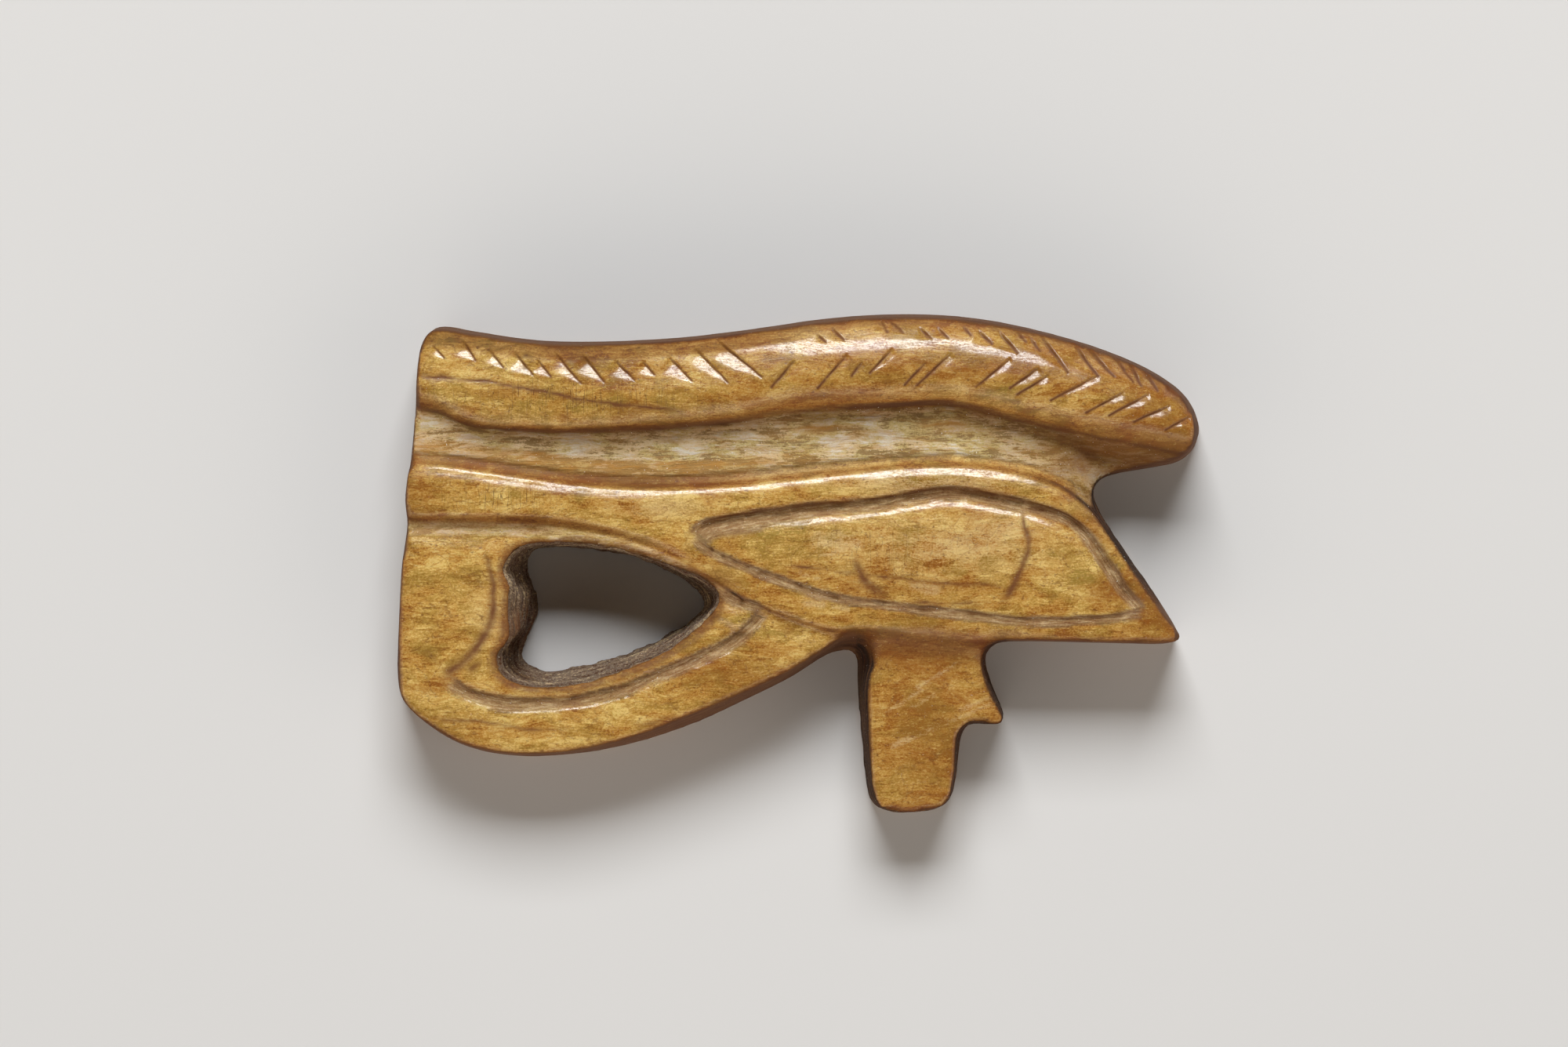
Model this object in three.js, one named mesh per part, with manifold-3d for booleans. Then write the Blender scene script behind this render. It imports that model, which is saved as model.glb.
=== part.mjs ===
// A wedjat eye amulet, carved in one piece from a plate of horn and lying on its flat back.
// X runs along the brow towards its nose, Y goes up the face and Z comes out of the front.
// The origin is in the middle of the back. All sizes are in millimetres.

import * as THREE from 'three';
import { mergeVertices } from 'three/addons/utils/BufferGeometryUtils.js';
import Module from 'manifold-3d';

// Driving dimensions
const length = 60;
const height = 37.4;
const browHeight = 9;
const lidHeight = 7.4;
const channelHeight = 6.2;
const tailHeight = 6.6;

// Sides of the blank
const wallLean = 1;
const backRound = 0.3;

// Section of the brow, from its ridge to its upper edge
const browTilt = 0.85;

// Gouged grooves and incised strokes, as width and depth at the surface, and how their ends run out
const eyeGrooveWidth = 0.85;
const eyeGrooveDepth = 0.5;
const eyelidGrooveWidth = 0.55;
const eyelidGrooveDepth = 0.4;
const irisWidth = 0.4;
const irisDepth = 0.25;
const tearGrooveWidth = 0.5;
const tearGrooveDepth = 0.3;
const tailGrooveWidth = 0.9;
const tailGrooveDepth = 0.45;
const hairWidth = 0.45;
const hairDepth = 0.3;
const runOut = 1;
const endShare = 0.3;

// How far a cutter reaches past the face that it cuts
const overrun = 0.5;
const lip = 0.12;

// How finely the forms are divided: a cut has two facets where it is a V, and four where its bottom is round
const veeFacets = 2;
const roundFacets = 4;
const cutStep = 1.3;
const reliefColumns = 76;
const samplesPerPoint = 3;
const browSteps = 6;
const browFaceSteps = 4;
const domeSteps = 2;
const wallSteps = 3;
const wallBow = 1.3;

// The outline of the back, clockwise from the brow's left corner: places along the length and up the
// height, and how much of the wall's lean each place has at the tail's height
const outlineShares = [
  [0.026, 0.911, 0.2], [0.032, 0.95, 0.3], [0.048, 0.975, 0.45], [0.091, 0.966, 0.45],
  [0.168, 0.948, 0.45], [0.246, 0.945, 0.45], [0.344, 0.952, 0.45], [0.441, 0.97, 0.45],
  [0.538, 0.992, 0.45], [0.636, 1, 0.45], [0.723, 0.991, 0.45], [0.811, 0.962, 0.45],
  [0.889, 0.923, 0.5], [0.947, 0.88, 0.6], [0.984, 0.833, 0.7], [1, 0.775, 0.7], [0.994, 0.731, 0.6],
  [0.975, 0.703, 0.45], [0.943, 0.691, 0.3], [0.904, 0.681, 0.25], [0.877, 0.669, 0.25],
  [0.866, 0.644, 0.3], [0.872, 0.614, 0.6], [0.908, 0.525, 0.7], [0.947, 0.434, 0.7],
  [0.965, 0.387, 0.5], [0.973, 0.362, 0.3], [0.973, 0.347, 0.2], [0.96, 0.338, 0.2],
  [0.908, 0.338, 0.2], [0.831, 0.341, 0.2], [0.772, 0.342, 0.25], [0.745, 0.338, 0.35],
  [0.733, 0.316, 0.6], [0.736, 0.278, 0.7], [0.747, 0.231, 0.5], [0.756, 0.192, 0.3],
  [0.75, 0.177, 0.25], [0.729, 0.177, 0.3], [0.711, 0.177, 0.35], [0.703, 0.159, 0.6],
  [0.697, 0.091, 0.5], [0.692, 0.044, 0.4], [0.68, 0.013, 0.35], [0.641, 0, 0.3], [0.599, 0.008, 0.35],
  [0.586, 0.031, 0.45], [0.58, 0.091, 0.65], [0.574, 0.184, 0.8], [0.571, 0.263, 1],
  [0.568, 0.316, 2.2], [0.54, 0.319, 0.8], [0.49, 0.27, 0.75], [0.431, 0.223, 0.8], [0.363, 0.173, 1],
  [0.285, 0.134, 0.7], [0.207, 0.114, 0.5], [0.13, 0.114, 0.45], [0.071, 0.139, 0.45],
  [0.022, 0.192, 0.4], [0.004, 0.228, 0.3], [0, 0.269, 0.15], [0.002, 0.372, 0.1], [0.006, 0.497, 0.1],
  [0.013, 0.584, 0.1], [0.01, 0.622, 0.1], [0.017, 0.708, 0.1], [0.023, 0.809, 0.1],
];

// The lobed opening between the lid and the tail, at the front face and at the back
const openingFrontShares = [
  [0.165, 0.537], [0.227, 0.541], [0.285, 0.524], [0.344, 0.495], [0.388, 0.464], [0.402, 0.431],
  [0.388, 0.395], [0.344, 0.333], [0.285, 0.289], [0.227, 0.261], [0.168, 0.253], [0.13, 0.277],
  [0.122, 0.312], [0.139, 0.348], [0.135, 0.403], [0.139, 0.455], [0.131, 0.487], [0.146, 0.527],
];
const openingBackShares = [
  [0.173, 0.53], [0.223, 0.53], [0.282, 0.517], [0.332, 0.487], [0.366, 0.453], [0.38, 0.419],
  [0.366, 0.388], [0.332, 0.353], [0.282, 0.319], [0.223, 0.292], [0.173, 0.287], [0.154, 0.305],
  [0.154, 0.334], [0.166, 0.377], [0.172, 0.408], [0.171, 0.441], [0.16, 0.475], [0.161, 0.508],
];

// Lines carved across the front, from the brow down to the tail: places along the length and up the
// height, and the level of each place as a share of its feature's height
const upperEdgeShares = [
  [-0.012, 0.975, 0.66], [0.052, 0.975, 0.67], [0.13, 0.956, 0.68], [0.246, 0.945, 0.69],
  [0.344, 0.952, 0.69], [0.441, 0.97, 0.68], [0.538, 0.992, 0.66], [0.636, 1, 0.66],
  [0.723, 0.992, 0.65], [0.811, 0.963, 0.63], [0.889, 0.923, 0.6], [0.947, 0.881, 0.56],
  [0.986, 0.831, 0.5], [1.011, 0.794, 0.45],
];
const ridgeShares = [
  [-0.012, 0.853, 0.87], [0.091, 0.85, 0.89], [0.188, 0.841, 0.91], [0.285, 0.836, 0.93],
  [0.383, 0.841, 0.95], [0.441, 0.852, 0.97], [0.5, 0.87, 0.99], [0.577, 0.878, 1], [0.675, 0.88, 1],
  [0.772, 0.861, 0.99], [0.87, 0.825, 0.95], [0.943, 0.789, 0.88], [1.011, 0.744, 0.77],
];
const browFootShares = [
  [-0.012, 0.82, 0.78], [0.052, 0.812, 0.79], [0.091, 0.783, 0.8], [0.188, 0.77, 0.82],
  [0.305, 0.775, 0.84], [0.422, 0.792, 0.86], [0.48, 0.811, 0.87], [0.616, 0.82, 0.88],
  [0.685, 0.825, 0.88], [0.772, 0.795, 0.86], [0.87, 0.759, 0.81], [0.967, 0.728, 0.73],
  [1.011, 0.716, 0.68],
];
const channelTopShares = [
  [-0.012, 0.805, 1], [0.052, 0.791, 1], [0.091, 0.764, 1], [0.188, 0.752, 1], [0.305, 0.756, 1],
  [0.422, 0.773, 1.02], [0.519, 0.792, 1.03], [0.616, 0.805, 1.03], [0.685, 0.806, 1.02],
  [0.772, 0.77, 0.97], [0.84, 0.738, 0.88], [0.88, 0.694, 0.72], [0.918, 0.678, 0.6],
  [1.011, 0.688, 0.5],
];
const channelFloorShares = [
  [-0.012, 0.762, 0.98], [0.091, 0.731, 0.97], [0.188, 0.716, 0.97], [0.305, 0.708, 0.97],
  [0.48, 0.723, 0.99], [0.577, 0.744, 1], [0.675, 0.747, 1], [0.772, 0.719, 0.97], [0.84, 0.684, 0.9],
  [0.88, 0.65, 0.78], [1.011, 0.65, 0.5],
];
const lidCornerShares = [
  [-0.012, 0.706, 1.03], [0.058, 0.702, 1.03], [0.227, 0.664, 1.03], [0.305, 0.656, 1.03],
  [0.402, 0.662, 1.04], [0.558, 0.689, 1.05], [0.685, 0.702, 1.06], [0.772, 0.686, 1.02],
  [0.831, 0.65, 0.95], [0.87, 0.598, 0.88], [0.908, 0.52, 0.88], [0.974, 0.38, 0.86],
  [1.011, 0.364, 0.86],
];
const lidCrestShares = [
  [-0.012, 0.694, 0.95], [0.058, 0.689, 0.95], [0.227, 0.652, 0.97], [0.305, 0.644, 0.98],
  [0.402, 0.65, 0.98], [0.558, 0.677, 1], [0.685, 0.689, 1], [0.772, 0.673, 0.99], [0.831, 0.637, 0.96],
  [0.87, 0.578, 0.93], [0.908, 0.497, 0.92], [0.974, 0.359, 0.89], [1.011, 0.348, 0.88],
];
const lidBandShares = [
  [-0.012, 0.667, 0.97], [0.058, 0.661, 0.98], [0.227, 0.622, 0.99], [0.305, 0.616, 1],
  [0.402, 0.622, 1], [0.558, 0.647, 1.02], [0.685, 0.666, 1.02], [0.772, 0.647, 1],
  [0.831, 0.609, 0.97], [0.87, 0.544, 0.95], [0.908, 0.469, 0.93], [0.974, 0.355, 0.9],
  [1.011, 0.344, 0.88],
];
const eyeTopShares = [
  [-0.012, 0.637, 0.96], [0.227, 0.603, 0.98], [0.305, 0.597, 0.98], [0.367, 0.578, 0.97],
  [0.412, 0.588, 0.97], [0.538, 0.611, 0.98], [0.675, 0.639, 0.98], [0.772, 0.614, 0.98],
  [0.831, 0.583, 0.97], [0.874, 0.509, 0.95], [0.923, 0.406, 0.93], [0.974, 0.352, 0.9],
  [1.011, 0.341, 0.88],
];
const eyeMiddleShares = [
  [-0.012, 0.619, 0.95], [0.227, 0.592, 0.96], [0.305, 0.578, 0.97], [0.367, 0.553, 0.97],
  [0.431, 0.539, 1], [0.529, 0.525, 1.03], [0.655, 0.519, 1.05], [0.772, 0.503, 1.04], [0.85, 0.463, 1],
  [0.923, 0.4, 0.94], [0.974, 0.348, 0.9], [1.011, 0.338, 0.88],
];
const eyeBottomShares = [
  [-0.012, 0.606, 0.94], [0.227, 0.581, 0.94], [0.305, 0.556, 0.95], [0.367, 0.528, 0.96],
  [0.441, 0.484, 0.96], [0.538, 0.434, 0.97], [0.655, 0.408, 0.97], [0.792, 0.388, 0.96],
  [0.87, 0.388, 0.95], [0.923, 0.392, 0.93], [0.974, 0.346, 0.9], [1.011, 0.336, 0.88],
];
const lidUnderShares = [
  [-0.012, 0.594, 0.92], [0.091, 0.592, 0.92], [0.188, 0.588, 0.92], [0.285, 0.558, 0.92],
  [0.334, 0.53, 0.92], [0.383, 0.486, 0.93], [0.422, 0.447, 0.93], [0.48, 0.403, 0.93],
  [0.538, 0.373, 0.92], [0.6, 0.366, 0.91], [0.719, 0.347, 0.9], [0.87, 0.345, 0.88],
  [1.011, 0.333, 0.86],
];
const lowerCornerShares = [
  [-0.012, 0.578, 0.91], [0.091, 0.577, 0.91], [0.188, 0.572, 0.91], [0.285, 0.541, 0.92],
  [0.334, 0.512, 0.93], [0.383, 0.469, 0.94], [0.422, 0.431, 0.94], [0.48, 0.388, 0.94],
  [0.538, 0.358, 0.92], [0.6, 0.348, 0.86], [0.719, 0.325, 0.8], [1.011, 0.319, 0.8],
];
const lowerFaceShares = [
  [-0.012, 0.536, 0.98], [0.052, 0.531, 0.98], [0.11, 0.52, 0.98], [0.207, 0.52, 0.96],
  [0.285, 0.499, 0.97], [0.334, 0.473, 0.98], [0.383, 0.431, 0.98], [0.422, 0.395, 0.99],
  [0.48, 0.348, 0.98], [0.538, 0.319, 0.96], [0.6, 0.302, 0.85], [0.719, 0.281, 0.82],
  [1.011, 0.275, 0.82],
];
const lowerMiddleShares = [
  [-0.012, 0.294, 0.99], [0.11, 0.294, 1], [0.285, 0.281, 1], [0.431, 0.294, 1], [0.538, 0.275, 0.95],
  [0.6, 0.223, 0.85], [0.719, 0.216, 0.84], [1.011, 0.216, 0.84],
];
const lowerEdgeShares = [
  [-0.012, 0.075, 0.9], [0.188, 0.075, 0.93], [0.383, 0.106, 0.93], [0.538, 0.122, 0.93],
  [0.6, -0.003, 0.8], [0.719, -0.011, 0.8], [1.011, -0.011, 0.8],
];

// Routes of the grooves round the eye, down the tear panel and along the tail
const upperLidGrooveShares = [
  [0.367, 0.552], [0.383, 0.572], [0.412, 0.583], [0.461, 0.594], [0.519, 0.606], [0.577, 0.613],
  [0.636, 0.628], [0.675, 0.637], [0.714, 0.633], [0.772, 0.614], [0.821, 0.592], [0.85, 0.559],
  [0.874, 0.506], [0.899, 0.447], [0.923, 0.402],
];
const lowerLidGrooveShares = [
  [0.367, 0.552], [0.388, 0.525], [0.422, 0.498], [0.461, 0.473], [0.5, 0.452], [0.538, 0.431],
  [0.597, 0.419], [0.655, 0.406], [0.723, 0.394], [0.792, 0.384], [0.87, 0.389], [0.923, 0.4],
];
const irisLeftShares = [[0.564, 0.523], [0.57, 0.494], [0.58, 0.466], [0.593, 0.447], [0.609, 0.43]];
const irisRightShares = [
  [0.771, 0.614], [0.776, 0.578], [0.782, 0.544], [0.778, 0.512], [0.769, 0.478], [0.758, 0.442],
  [0.749, 0.422],
];
const tearGrooveShares = [
  [0.108, 0.531], [0.117, 0.494], [0.121, 0.442], [0.12, 0.395], [0.106, 0.347], [0.089, 0.312],
  [0.056, 0.275],
];
const tailGrooveShares = [
  [0.066, 0.266], [0.091, 0.241], [0.13, 0.223], [0.178, 0.222], [0.227, 0.228], [0.276, 0.247],
  [0.324, 0.277], [0.373, 0.311], [0.412, 0.341], [0.436, 0.372], [0.456, 0.406],
];
const tailForkShares = [[0.4, 0.447], [0.422, 0.425], [0.456, 0.406]];

// Cut hairs of the brow, each from its start to its end: those above the ridge, then those below it
const upperHairShares = [
  [[0.047, 0.93], [0.063, 0.903]], [[0.084, 0.941], [0.101, 0.898]], [[0.117, 0.923], [0.135, 0.884]],
  [[0.147, 0.919], [0.172, 0.87]], [[0.176, 0.903], [0.194, 0.866]], [[0.196, 0.919], [0.231, 0.853]],
  [[0.231, 0.914], [0.26, 0.856]], [[0.271, 0.903], [0.297, 0.859]], [[0.305, 0.9], [0.322, 0.87]],
  [[0.336, 0.911], [0.368, 0.858]], [[0.367, 0.93], [0.412, 0.855]], [[0.395, 0.944], [0.454, 0.866]],
  [[0.52, 0.953], [0.533, 0.934]], [[0.537, 0.967], [0.555, 0.938]], [[0.599, 0.98], [0.608, 0.953]],
  [[0.61, 0.978], [0.628, 0.953]], [[0.646, 0.967], [0.663, 0.941]], [[0.668, 0.967], [0.683, 0.942]],
  [[0.7, 0.969], [0.711, 0.947]], [[0.719, 0.961], [0.737, 0.93]], [[0.744, 0.961], [0.769, 0.912]],
  [[0.767, 0.959], [0.779, 0.934]], [[0.782, 0.947], [0.796, 0.916]], [[0.794, 0.958], [0.83, 0.873]],
  [[0.838, 0.934], [0.868, 0.866]], [[0.853, 0.93], [0.888, 0.866]], [[0.888, 0.912], [0.911, 0.855]],
  [[0.907, 0.898], [0.921, 0.848]], [[0.926, 0.881], [0.942, 0.838]], [[0.951, 0.853], [0.969, 0.83]],
];
const lowerHairShares = [
  [[0.494, 0.902], [0.463, 0.844]], [[0.559, 0.914], [0.52, 0.842]], [[0.577, 0.9], [0.562, 0.866]],
  [[0.614, 0.925], [0.584, 0.872]], [[0.656, 0.898], [0.627, 0.848]], [[0.687, 0.916], [0.642, 0.848]],
  [[0.76, 0.906], [0.715, 0.845]], [[0.795, 0.887], [0.756, 0.842]], [[0.807, 0.873], [0.765, 0.83]],
  [[0.868, 0.872], [0.806, 0.819]], [[0.899, 0.838], [0.85, 0.794]], [[0.931, 0.836], [0.878, 0.789]],
  [[0.957, 0.812], [0.909, 0.777]], [[0.983, 0.792], [0.948, 0.761]],
];

const wasm = await Module();
wasm.setup();

// A closed mesh as a solid that can be joined and cut
function solid(geometry) {
  geometry.deleteAttribute('normal');
  geometry.deleteAttribute('uv');
  const merged = mergeVertices(geometry);
  const vertProperties = new Float32Array(merged.attributes.position.array);
  const triVerts = new Uint32Array(merged.index.array);
  return new wasm.Manifold(new wasm.Mesh({ numProp: 3, vertProperties, triVerts }));
}

// A joined or cut solid as a flat-shaded geometry
function geometryOf(shape) {
  const mesh = shape.getMesh();
  const geometry = new THREE.BufferGeometry();
  geometry.setAttribute('position', new THREE.BufferAttribute(mesh.vertProperties, mesh.numProp));
  geometry.setIndex(new THREE.BufferAttribute(mesh.triVerts, 1));
  geometry.computeVertexNormals();
  return geometry;
}

// A place on the face, from its shares of the length and the height
function place([along, up]) {
  return new THREE.Vector3((along - 0.5) * length, (up - 0.5) * height, 0);
}

// Rings of points skinned from the first to the last, each ring running anticlockwise seen from the last
function skin(rings, capFaces) {
  const count = rings[0].length;
  const positions = rings.flat().flatMap((point) => point.toArray());
  const indices = [];
  for (let ring = 0; ring < rings.length - 1; ring++) {
    for (let i = 0; i < count; i++) {
      const next = (i + 1) % count;
      const low = ring * count;
      const high = low + count;
      indices.push(low + i, low + next, high + next, low + i, high + next, high + i);
    }
  }
  const last = (rings.length - 1) * count;
  for (const [a, b, c] of capFaces) {
    indices.push(c, b, a, last + a, last + b, last + c);
  }
  const geometry = new THREE.BufferGeometry();
  geometry.setAttribute('position', new THREE.Float32BufferAttribute(positions, 3));
  geometry.setIndex(indices);
  return solid(geometry);
}

// The faces that close a ring lying flat, each turned anticlockwise
function flatCap(ring) {
  const flat = ring.map((point) => new THREE.Vector2(point.x, point.y));
  return THREE.ShapeUtils.triangulateShape(flat, []).map(([a, b, c]) => {
    const turned = THREE.ShapeUtils.area([flat[a], flat[b], flat[c]]) < 0;
    return turned ? [c, b, a] : [a, b, c];
  });
}

// The sawn plate: its sides lean in and bow a little towards the front, and the back's edge is worn round
function sawnBlank() {
  const controls = outlineShares.map((share) => {
    const point = place(share);
    point.z = share[2] * wallLean;
    return point;
  });
  const curve = new THREE.CatmullRomCurve3(controls, true, 'centripetal');
  const count = controls.length * samplesPerPoint;
  const edge = [];
  for (let i = 0; i < count; i++) {
    const point = curve.getPoint(i / count);
    const tangent = curve.getTangent(i / count).setZ(0).normalize();
    const inward = new THREE.Vector3(tangent.y, -tangent.x, 0);
    edge.push({ point, inward, lean: point.z });
  }
  edge.reverse();
  const ringAt = (level, insetOf) => edge.map(({ point, inward, lean }) => (
    new THREE.Vector3(point.x, point.y, level).addScaledVector(inward, insetOf(lean))
  ));
  const rings = [ringAt(0, () => backRound), ringAt(backRound, () => 0)];
  const top = browHeight + overrun;
  for (let step = 1; step <= wallSteps; step++) {
    const level = THREE.MathUtils.lerp(backRound, top, step / wallSteps);
    rings.push(ringAt(level, (lean) => lean * (level / tailHeight) ** wallBow));
  }
  return skin(rings, flatCap(rings[1]));
}

// A carved line read as a smooth one over the length
function carvedLine(shares, featureHeight) {
  const stations = shares.map(([along]) => along);
  const values = shares.flatMap(([, up, level]) => [up, level]);
  const curve = new THREE.CubicInterpolant(stations, values, 2);
  return (along) => {
    const [up, level] = curve.evaluate(along);
    const point = place([along, up]);
    point.z = level * featureHeight;
    return point;
  };
}

// The lines of the relief from the top edge to the bottom one. The brow's round section is worked out
// between its upper edge, its ridge and its foot, and the eye's dome between its rims and its middle.
function reliefLines() {
  const upperEdge = carvedLine(upperEdgeShares, browHeight);
  const ridge = carvedLine(ridgeShares, browHeight);
  const browFoot = carvedLine(browFootShares, browHeight);
  const lines = [];
  for (let step = browSteps; step >= 1; step--) {
    const turn = (step / browSteps) * Math.PI / 2;
    lines.push((along) => {
      const crest = ridge(along);
      const edge = upperEdge(along);
      const round = crest.z - edge.z - browTilt;
      const drop = browTilt * Math.sin(turn) + round * (1 - Math.cos(turn));
      const y = THREE.MathUtils.lerp(crest.y, edge.y, Math.sin(turn));
      return new THREE.Vector3(crest.x, y, crest.z - drop);
    });
  }
  for (let step = 0; step <= browFaceSteps; step++) {
    const down = step / browFaceSteps;
    lines.push((along) => {
      const crest = ridge(along);
      const foot = browFoot(along);
      const y = THREE.MathUtils.lerp(crest.y, foot.y, down);
      return new THREE.Vector3(crest.x, y, THREE.MathUtils.lerp(crest.z, foot.z, down ** 2));
    });
  }
  const eyeTop = carvedLine(eyeTopShares, lidHeight);
  const eyeMiddle = carvedLine(eyeMiddleShares, lidHeight);
  const eyeBottom = carvedLine(eyeBottomShares, lidHeight);
  const domed = (rim, step) => (along) => {
    const across = step / domeSteps;
    const edge = rim(along);
    const crown = eyeMiddle(along);
    const y = THREE.MathUtils.lerp(edge.y, crown.y, across);
    const z = THREE.MathUtils.lerp(edge.z, crown.z, Math.sin(across * Math.PI / 2));
    return new THREE.Vector3(edge.x, y, z);
  };
  lines.push(carvedLine(channelTopShares, channelHeight));
  lines.push(carvedLine(channelFloorShares, channelHeight));
  lines.push(carvedLine(lidCornerShares, channelHeight));
  lines.push(carvedLine(lidCrestShares, lidHeight));
  lines.push(carvedLine(lidBandShares, lidHeight));
  for (let step = 0; step < domeSteps; step++) {
    lines.push(domed(eyeTop, step));
  }
  for (let step = domeSteps; step >= 0; step--) {
    lines.push(domed(eyeBottom, step));
  }
  lines.push(carvedLine(lidUnderShares, lidHeight));
  lines.push(carvedLine(lowerCornerShares, tailHeight));
  lines.push(carvedLine(lowerFaceShares, tailHeight));
  lines.push(carvedLine(lowerMiddleShares, tailHeight));
  lines.push(carvedLine(lowerEdgeShares, tailHeight));
  const first = lines[0];
  lines.unshift((along) => first(along).add(new THREE.Vector3(0, overrun, 0)));
  return lines;
}

// A block whose top is the relief, standing below the back so that only its top cuts the blank
function reliefBlock(lines) {
  const rows = lines.length - 1;
  const block = new THREE.BoxGeometry(1, 1, 1, reliefColumns, rows, 1);
  const position = block.attributes.position;
  const first = upperEdgeShares[0][0];
  const last = upperEdgeShares[upperEdgeShares.length - 1][0];
  for (let i = 0; i < position.count; i++) {
    const along = THREE.MathUtils.lerp(first, last, position.getX(i) + 0.5);
    const row = Math.round((0.5 - position.getY(i)) * rows);
    const point = lines[row](along);
    const level = position.getZ(i) > 0 ? point.z : -overrun;
    position.setXYZ(i, point.x, point.y, level);
  }
  return solid(block);
}

// The level of the relief at a place on the face
function levelAt(lines, point) {
  const along = point.x / length + 0.5;
  const section = lines.map((line) => line(along));
  for (let i = 1; i < section.length; i++) {
    const above = section[i - 1];
    const below = section[i];
    if (point.y >= below.y) {
      const share = (above.y - point.y) / (above.y - below.y);
      return THREE.MathUtils.lerp(above.z, below.z, Math.min(Math.max(share, 0), 1));
    }
  }
  return section[section.length - 1].z;
}

// A gouge's cut along a route on the face, running out at both ends
function gouge(lines, shares, width, depth, facets) {
  const curve = new THREE.CatmullRomCurve3(shares.map(place), false, 'centripetal');
  const reach = curve.getLength();
  const stations = Math.max(2, Math.round(reach / cutStep));
  const rings = [];
  for (let i = 0; i <= stations; i++) {
    const at = i / stations;
    const point = curve.getPointAt(at);
    const tangent = curve.getTangentAt(at);
    const aside = new THREE.Vector3(-tangent.y, tangent.x, 0);
    const toEnd = Math.min(at, 1 - at) * reach;
    const fade = Math.min(1, endShare + toEnd / Math.min(runOut, reach / 3));
    const halfWidth = fade * (width / 2) * (1 + lip / depth);
    const surface = levelAt(lines, point);
    const ring = [];
    for (let facet = 0; facet <= facets; facet++) {
      const turn = (facet / facets) * Math.PI;
      const sink = lip - fade * (depth + lip) * Math.sin(turn);
      ring.push(point.clone().addScaledVector(aside, halfWidth * Math.cos(turn)).setZ(surface + sink));
    }
    ring.push(point.clone().setZ(surface + 2 * lip));
    rings.push(ring.reverse());
  }
  const fan = [];
  for (let i = 1; i < rings[0].length - 1; i++) {
    fan.push([0, i, i + 1]);
  }
  return skin(rings, fan);
}

// The lobed opening, wider at the front than at the back
function opening() {
  const ringOf = (shares) => {
    const curve = new THREE.CatmullRomCurve3(shares.map(place), true, 'centripetal');
    return curve.getPoints(shares.length * samplesPerPoint).slice(1).reverse();
  };
  const front = ringOf(openingFrontShares);
  const back = ringOf(openingBackShares);
  const ringAt = (level) => back.map((point, i) => (
    point.clone().lerp(front[i], level / tailHeight).setZ(level)
  ));
  const rings = [ringAt(-overrun), ringAt(browHeight + overrun)];
  return skin(rings, flatCap(rings[0]));
}

function wedjatAmulet() {
  const lines = reliefLines();
  let carving = sawnBlank().intersect(reliefBlock(lines)).subtract(opening());
  const routeCuts = [
    [upperLidGrooveShares, eyeGrooveWidth, eyeGrooveDepth, roundFacets],
    [lowerLidGrooveShares, eyelidGrooveWidth, eyelidGrooveDepth, veeFacets],
    [irisLeftShares, irisWidth, irisDepth, veeFacets],
    [irisRightShares, irisWidth, irisDepth, veeFacets],
    [tearGrooveShares, tearGrooveWidth, tearGrooveDepth, veeFacets],
    [tailGrooveShares, tailGrooveWidth, tailGrooveDepth, roundFacets],
    [tailForkShares, tailGrooveWidth, tailGrooveDepth, veeFacets],
  ];
  for (const [shares, width, depth, facets] of routeCuts) {
    carving = carving.subtract(gouge(lines, shares, width, depth, facets));
  }
  for (const hair of [...upperHairShares, ...lowerHairShares]) {
    carving = carving.subtract(gouge(lines, hair, hairWidth, hairDepth, veeFacets));
  }
  const horn = new THREE.MeshStandardMaterial({ color: 0xb07a26, roughness: 0.32, metalness: 0 });
  const mesh = new THREE.Mesh(geometryOf(carving), horn);
  mesh.name = 'wedjat_amulet';
  return mesh;
}

const amulet = new THREE.Group();
amulet.add(wedjatAmulet());

export default amulet;
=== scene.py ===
"""The looks of a wedjat eye amulet carved from horn: its hand-cut and worn body, its horn, and the stage."""

import math
from types import SimpleNamespace

import bmesh
import bpy
import numpy as np
from bpy.props import FloatProperty, FloatVectorProperty, IntProperty, PointerProperty
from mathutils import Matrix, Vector, noise


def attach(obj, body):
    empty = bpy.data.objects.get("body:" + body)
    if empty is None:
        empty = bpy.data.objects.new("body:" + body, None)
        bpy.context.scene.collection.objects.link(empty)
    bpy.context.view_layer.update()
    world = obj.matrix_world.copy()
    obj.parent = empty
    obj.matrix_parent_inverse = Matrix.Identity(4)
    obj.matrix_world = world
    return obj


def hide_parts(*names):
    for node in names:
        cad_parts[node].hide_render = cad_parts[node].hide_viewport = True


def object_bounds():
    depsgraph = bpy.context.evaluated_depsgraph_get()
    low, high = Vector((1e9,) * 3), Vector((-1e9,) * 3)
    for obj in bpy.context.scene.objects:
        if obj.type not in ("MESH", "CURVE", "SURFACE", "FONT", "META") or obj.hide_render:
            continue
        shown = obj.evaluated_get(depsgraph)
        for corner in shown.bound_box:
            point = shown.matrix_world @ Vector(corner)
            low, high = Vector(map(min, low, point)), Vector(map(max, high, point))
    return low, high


bl_info = {
    "name": "Carved horn amulet",
    "version": (1, 0, 0),
    "blender": (4, 5, 0),
    "location": "3D View > Sidebar > Amulet",
    "description": "Carves the fine work of a wedjat eye amulet, gives it its horn and sets its stage",
    "category": "Object",
}

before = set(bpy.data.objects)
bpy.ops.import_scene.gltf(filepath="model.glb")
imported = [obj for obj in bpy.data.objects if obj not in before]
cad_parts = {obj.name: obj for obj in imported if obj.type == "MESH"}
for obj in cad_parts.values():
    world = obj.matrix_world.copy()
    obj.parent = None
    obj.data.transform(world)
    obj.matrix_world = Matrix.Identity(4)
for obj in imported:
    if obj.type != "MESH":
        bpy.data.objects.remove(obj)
CAD_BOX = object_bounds()
CAD_NODE = "wedjat_amulet"

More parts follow.
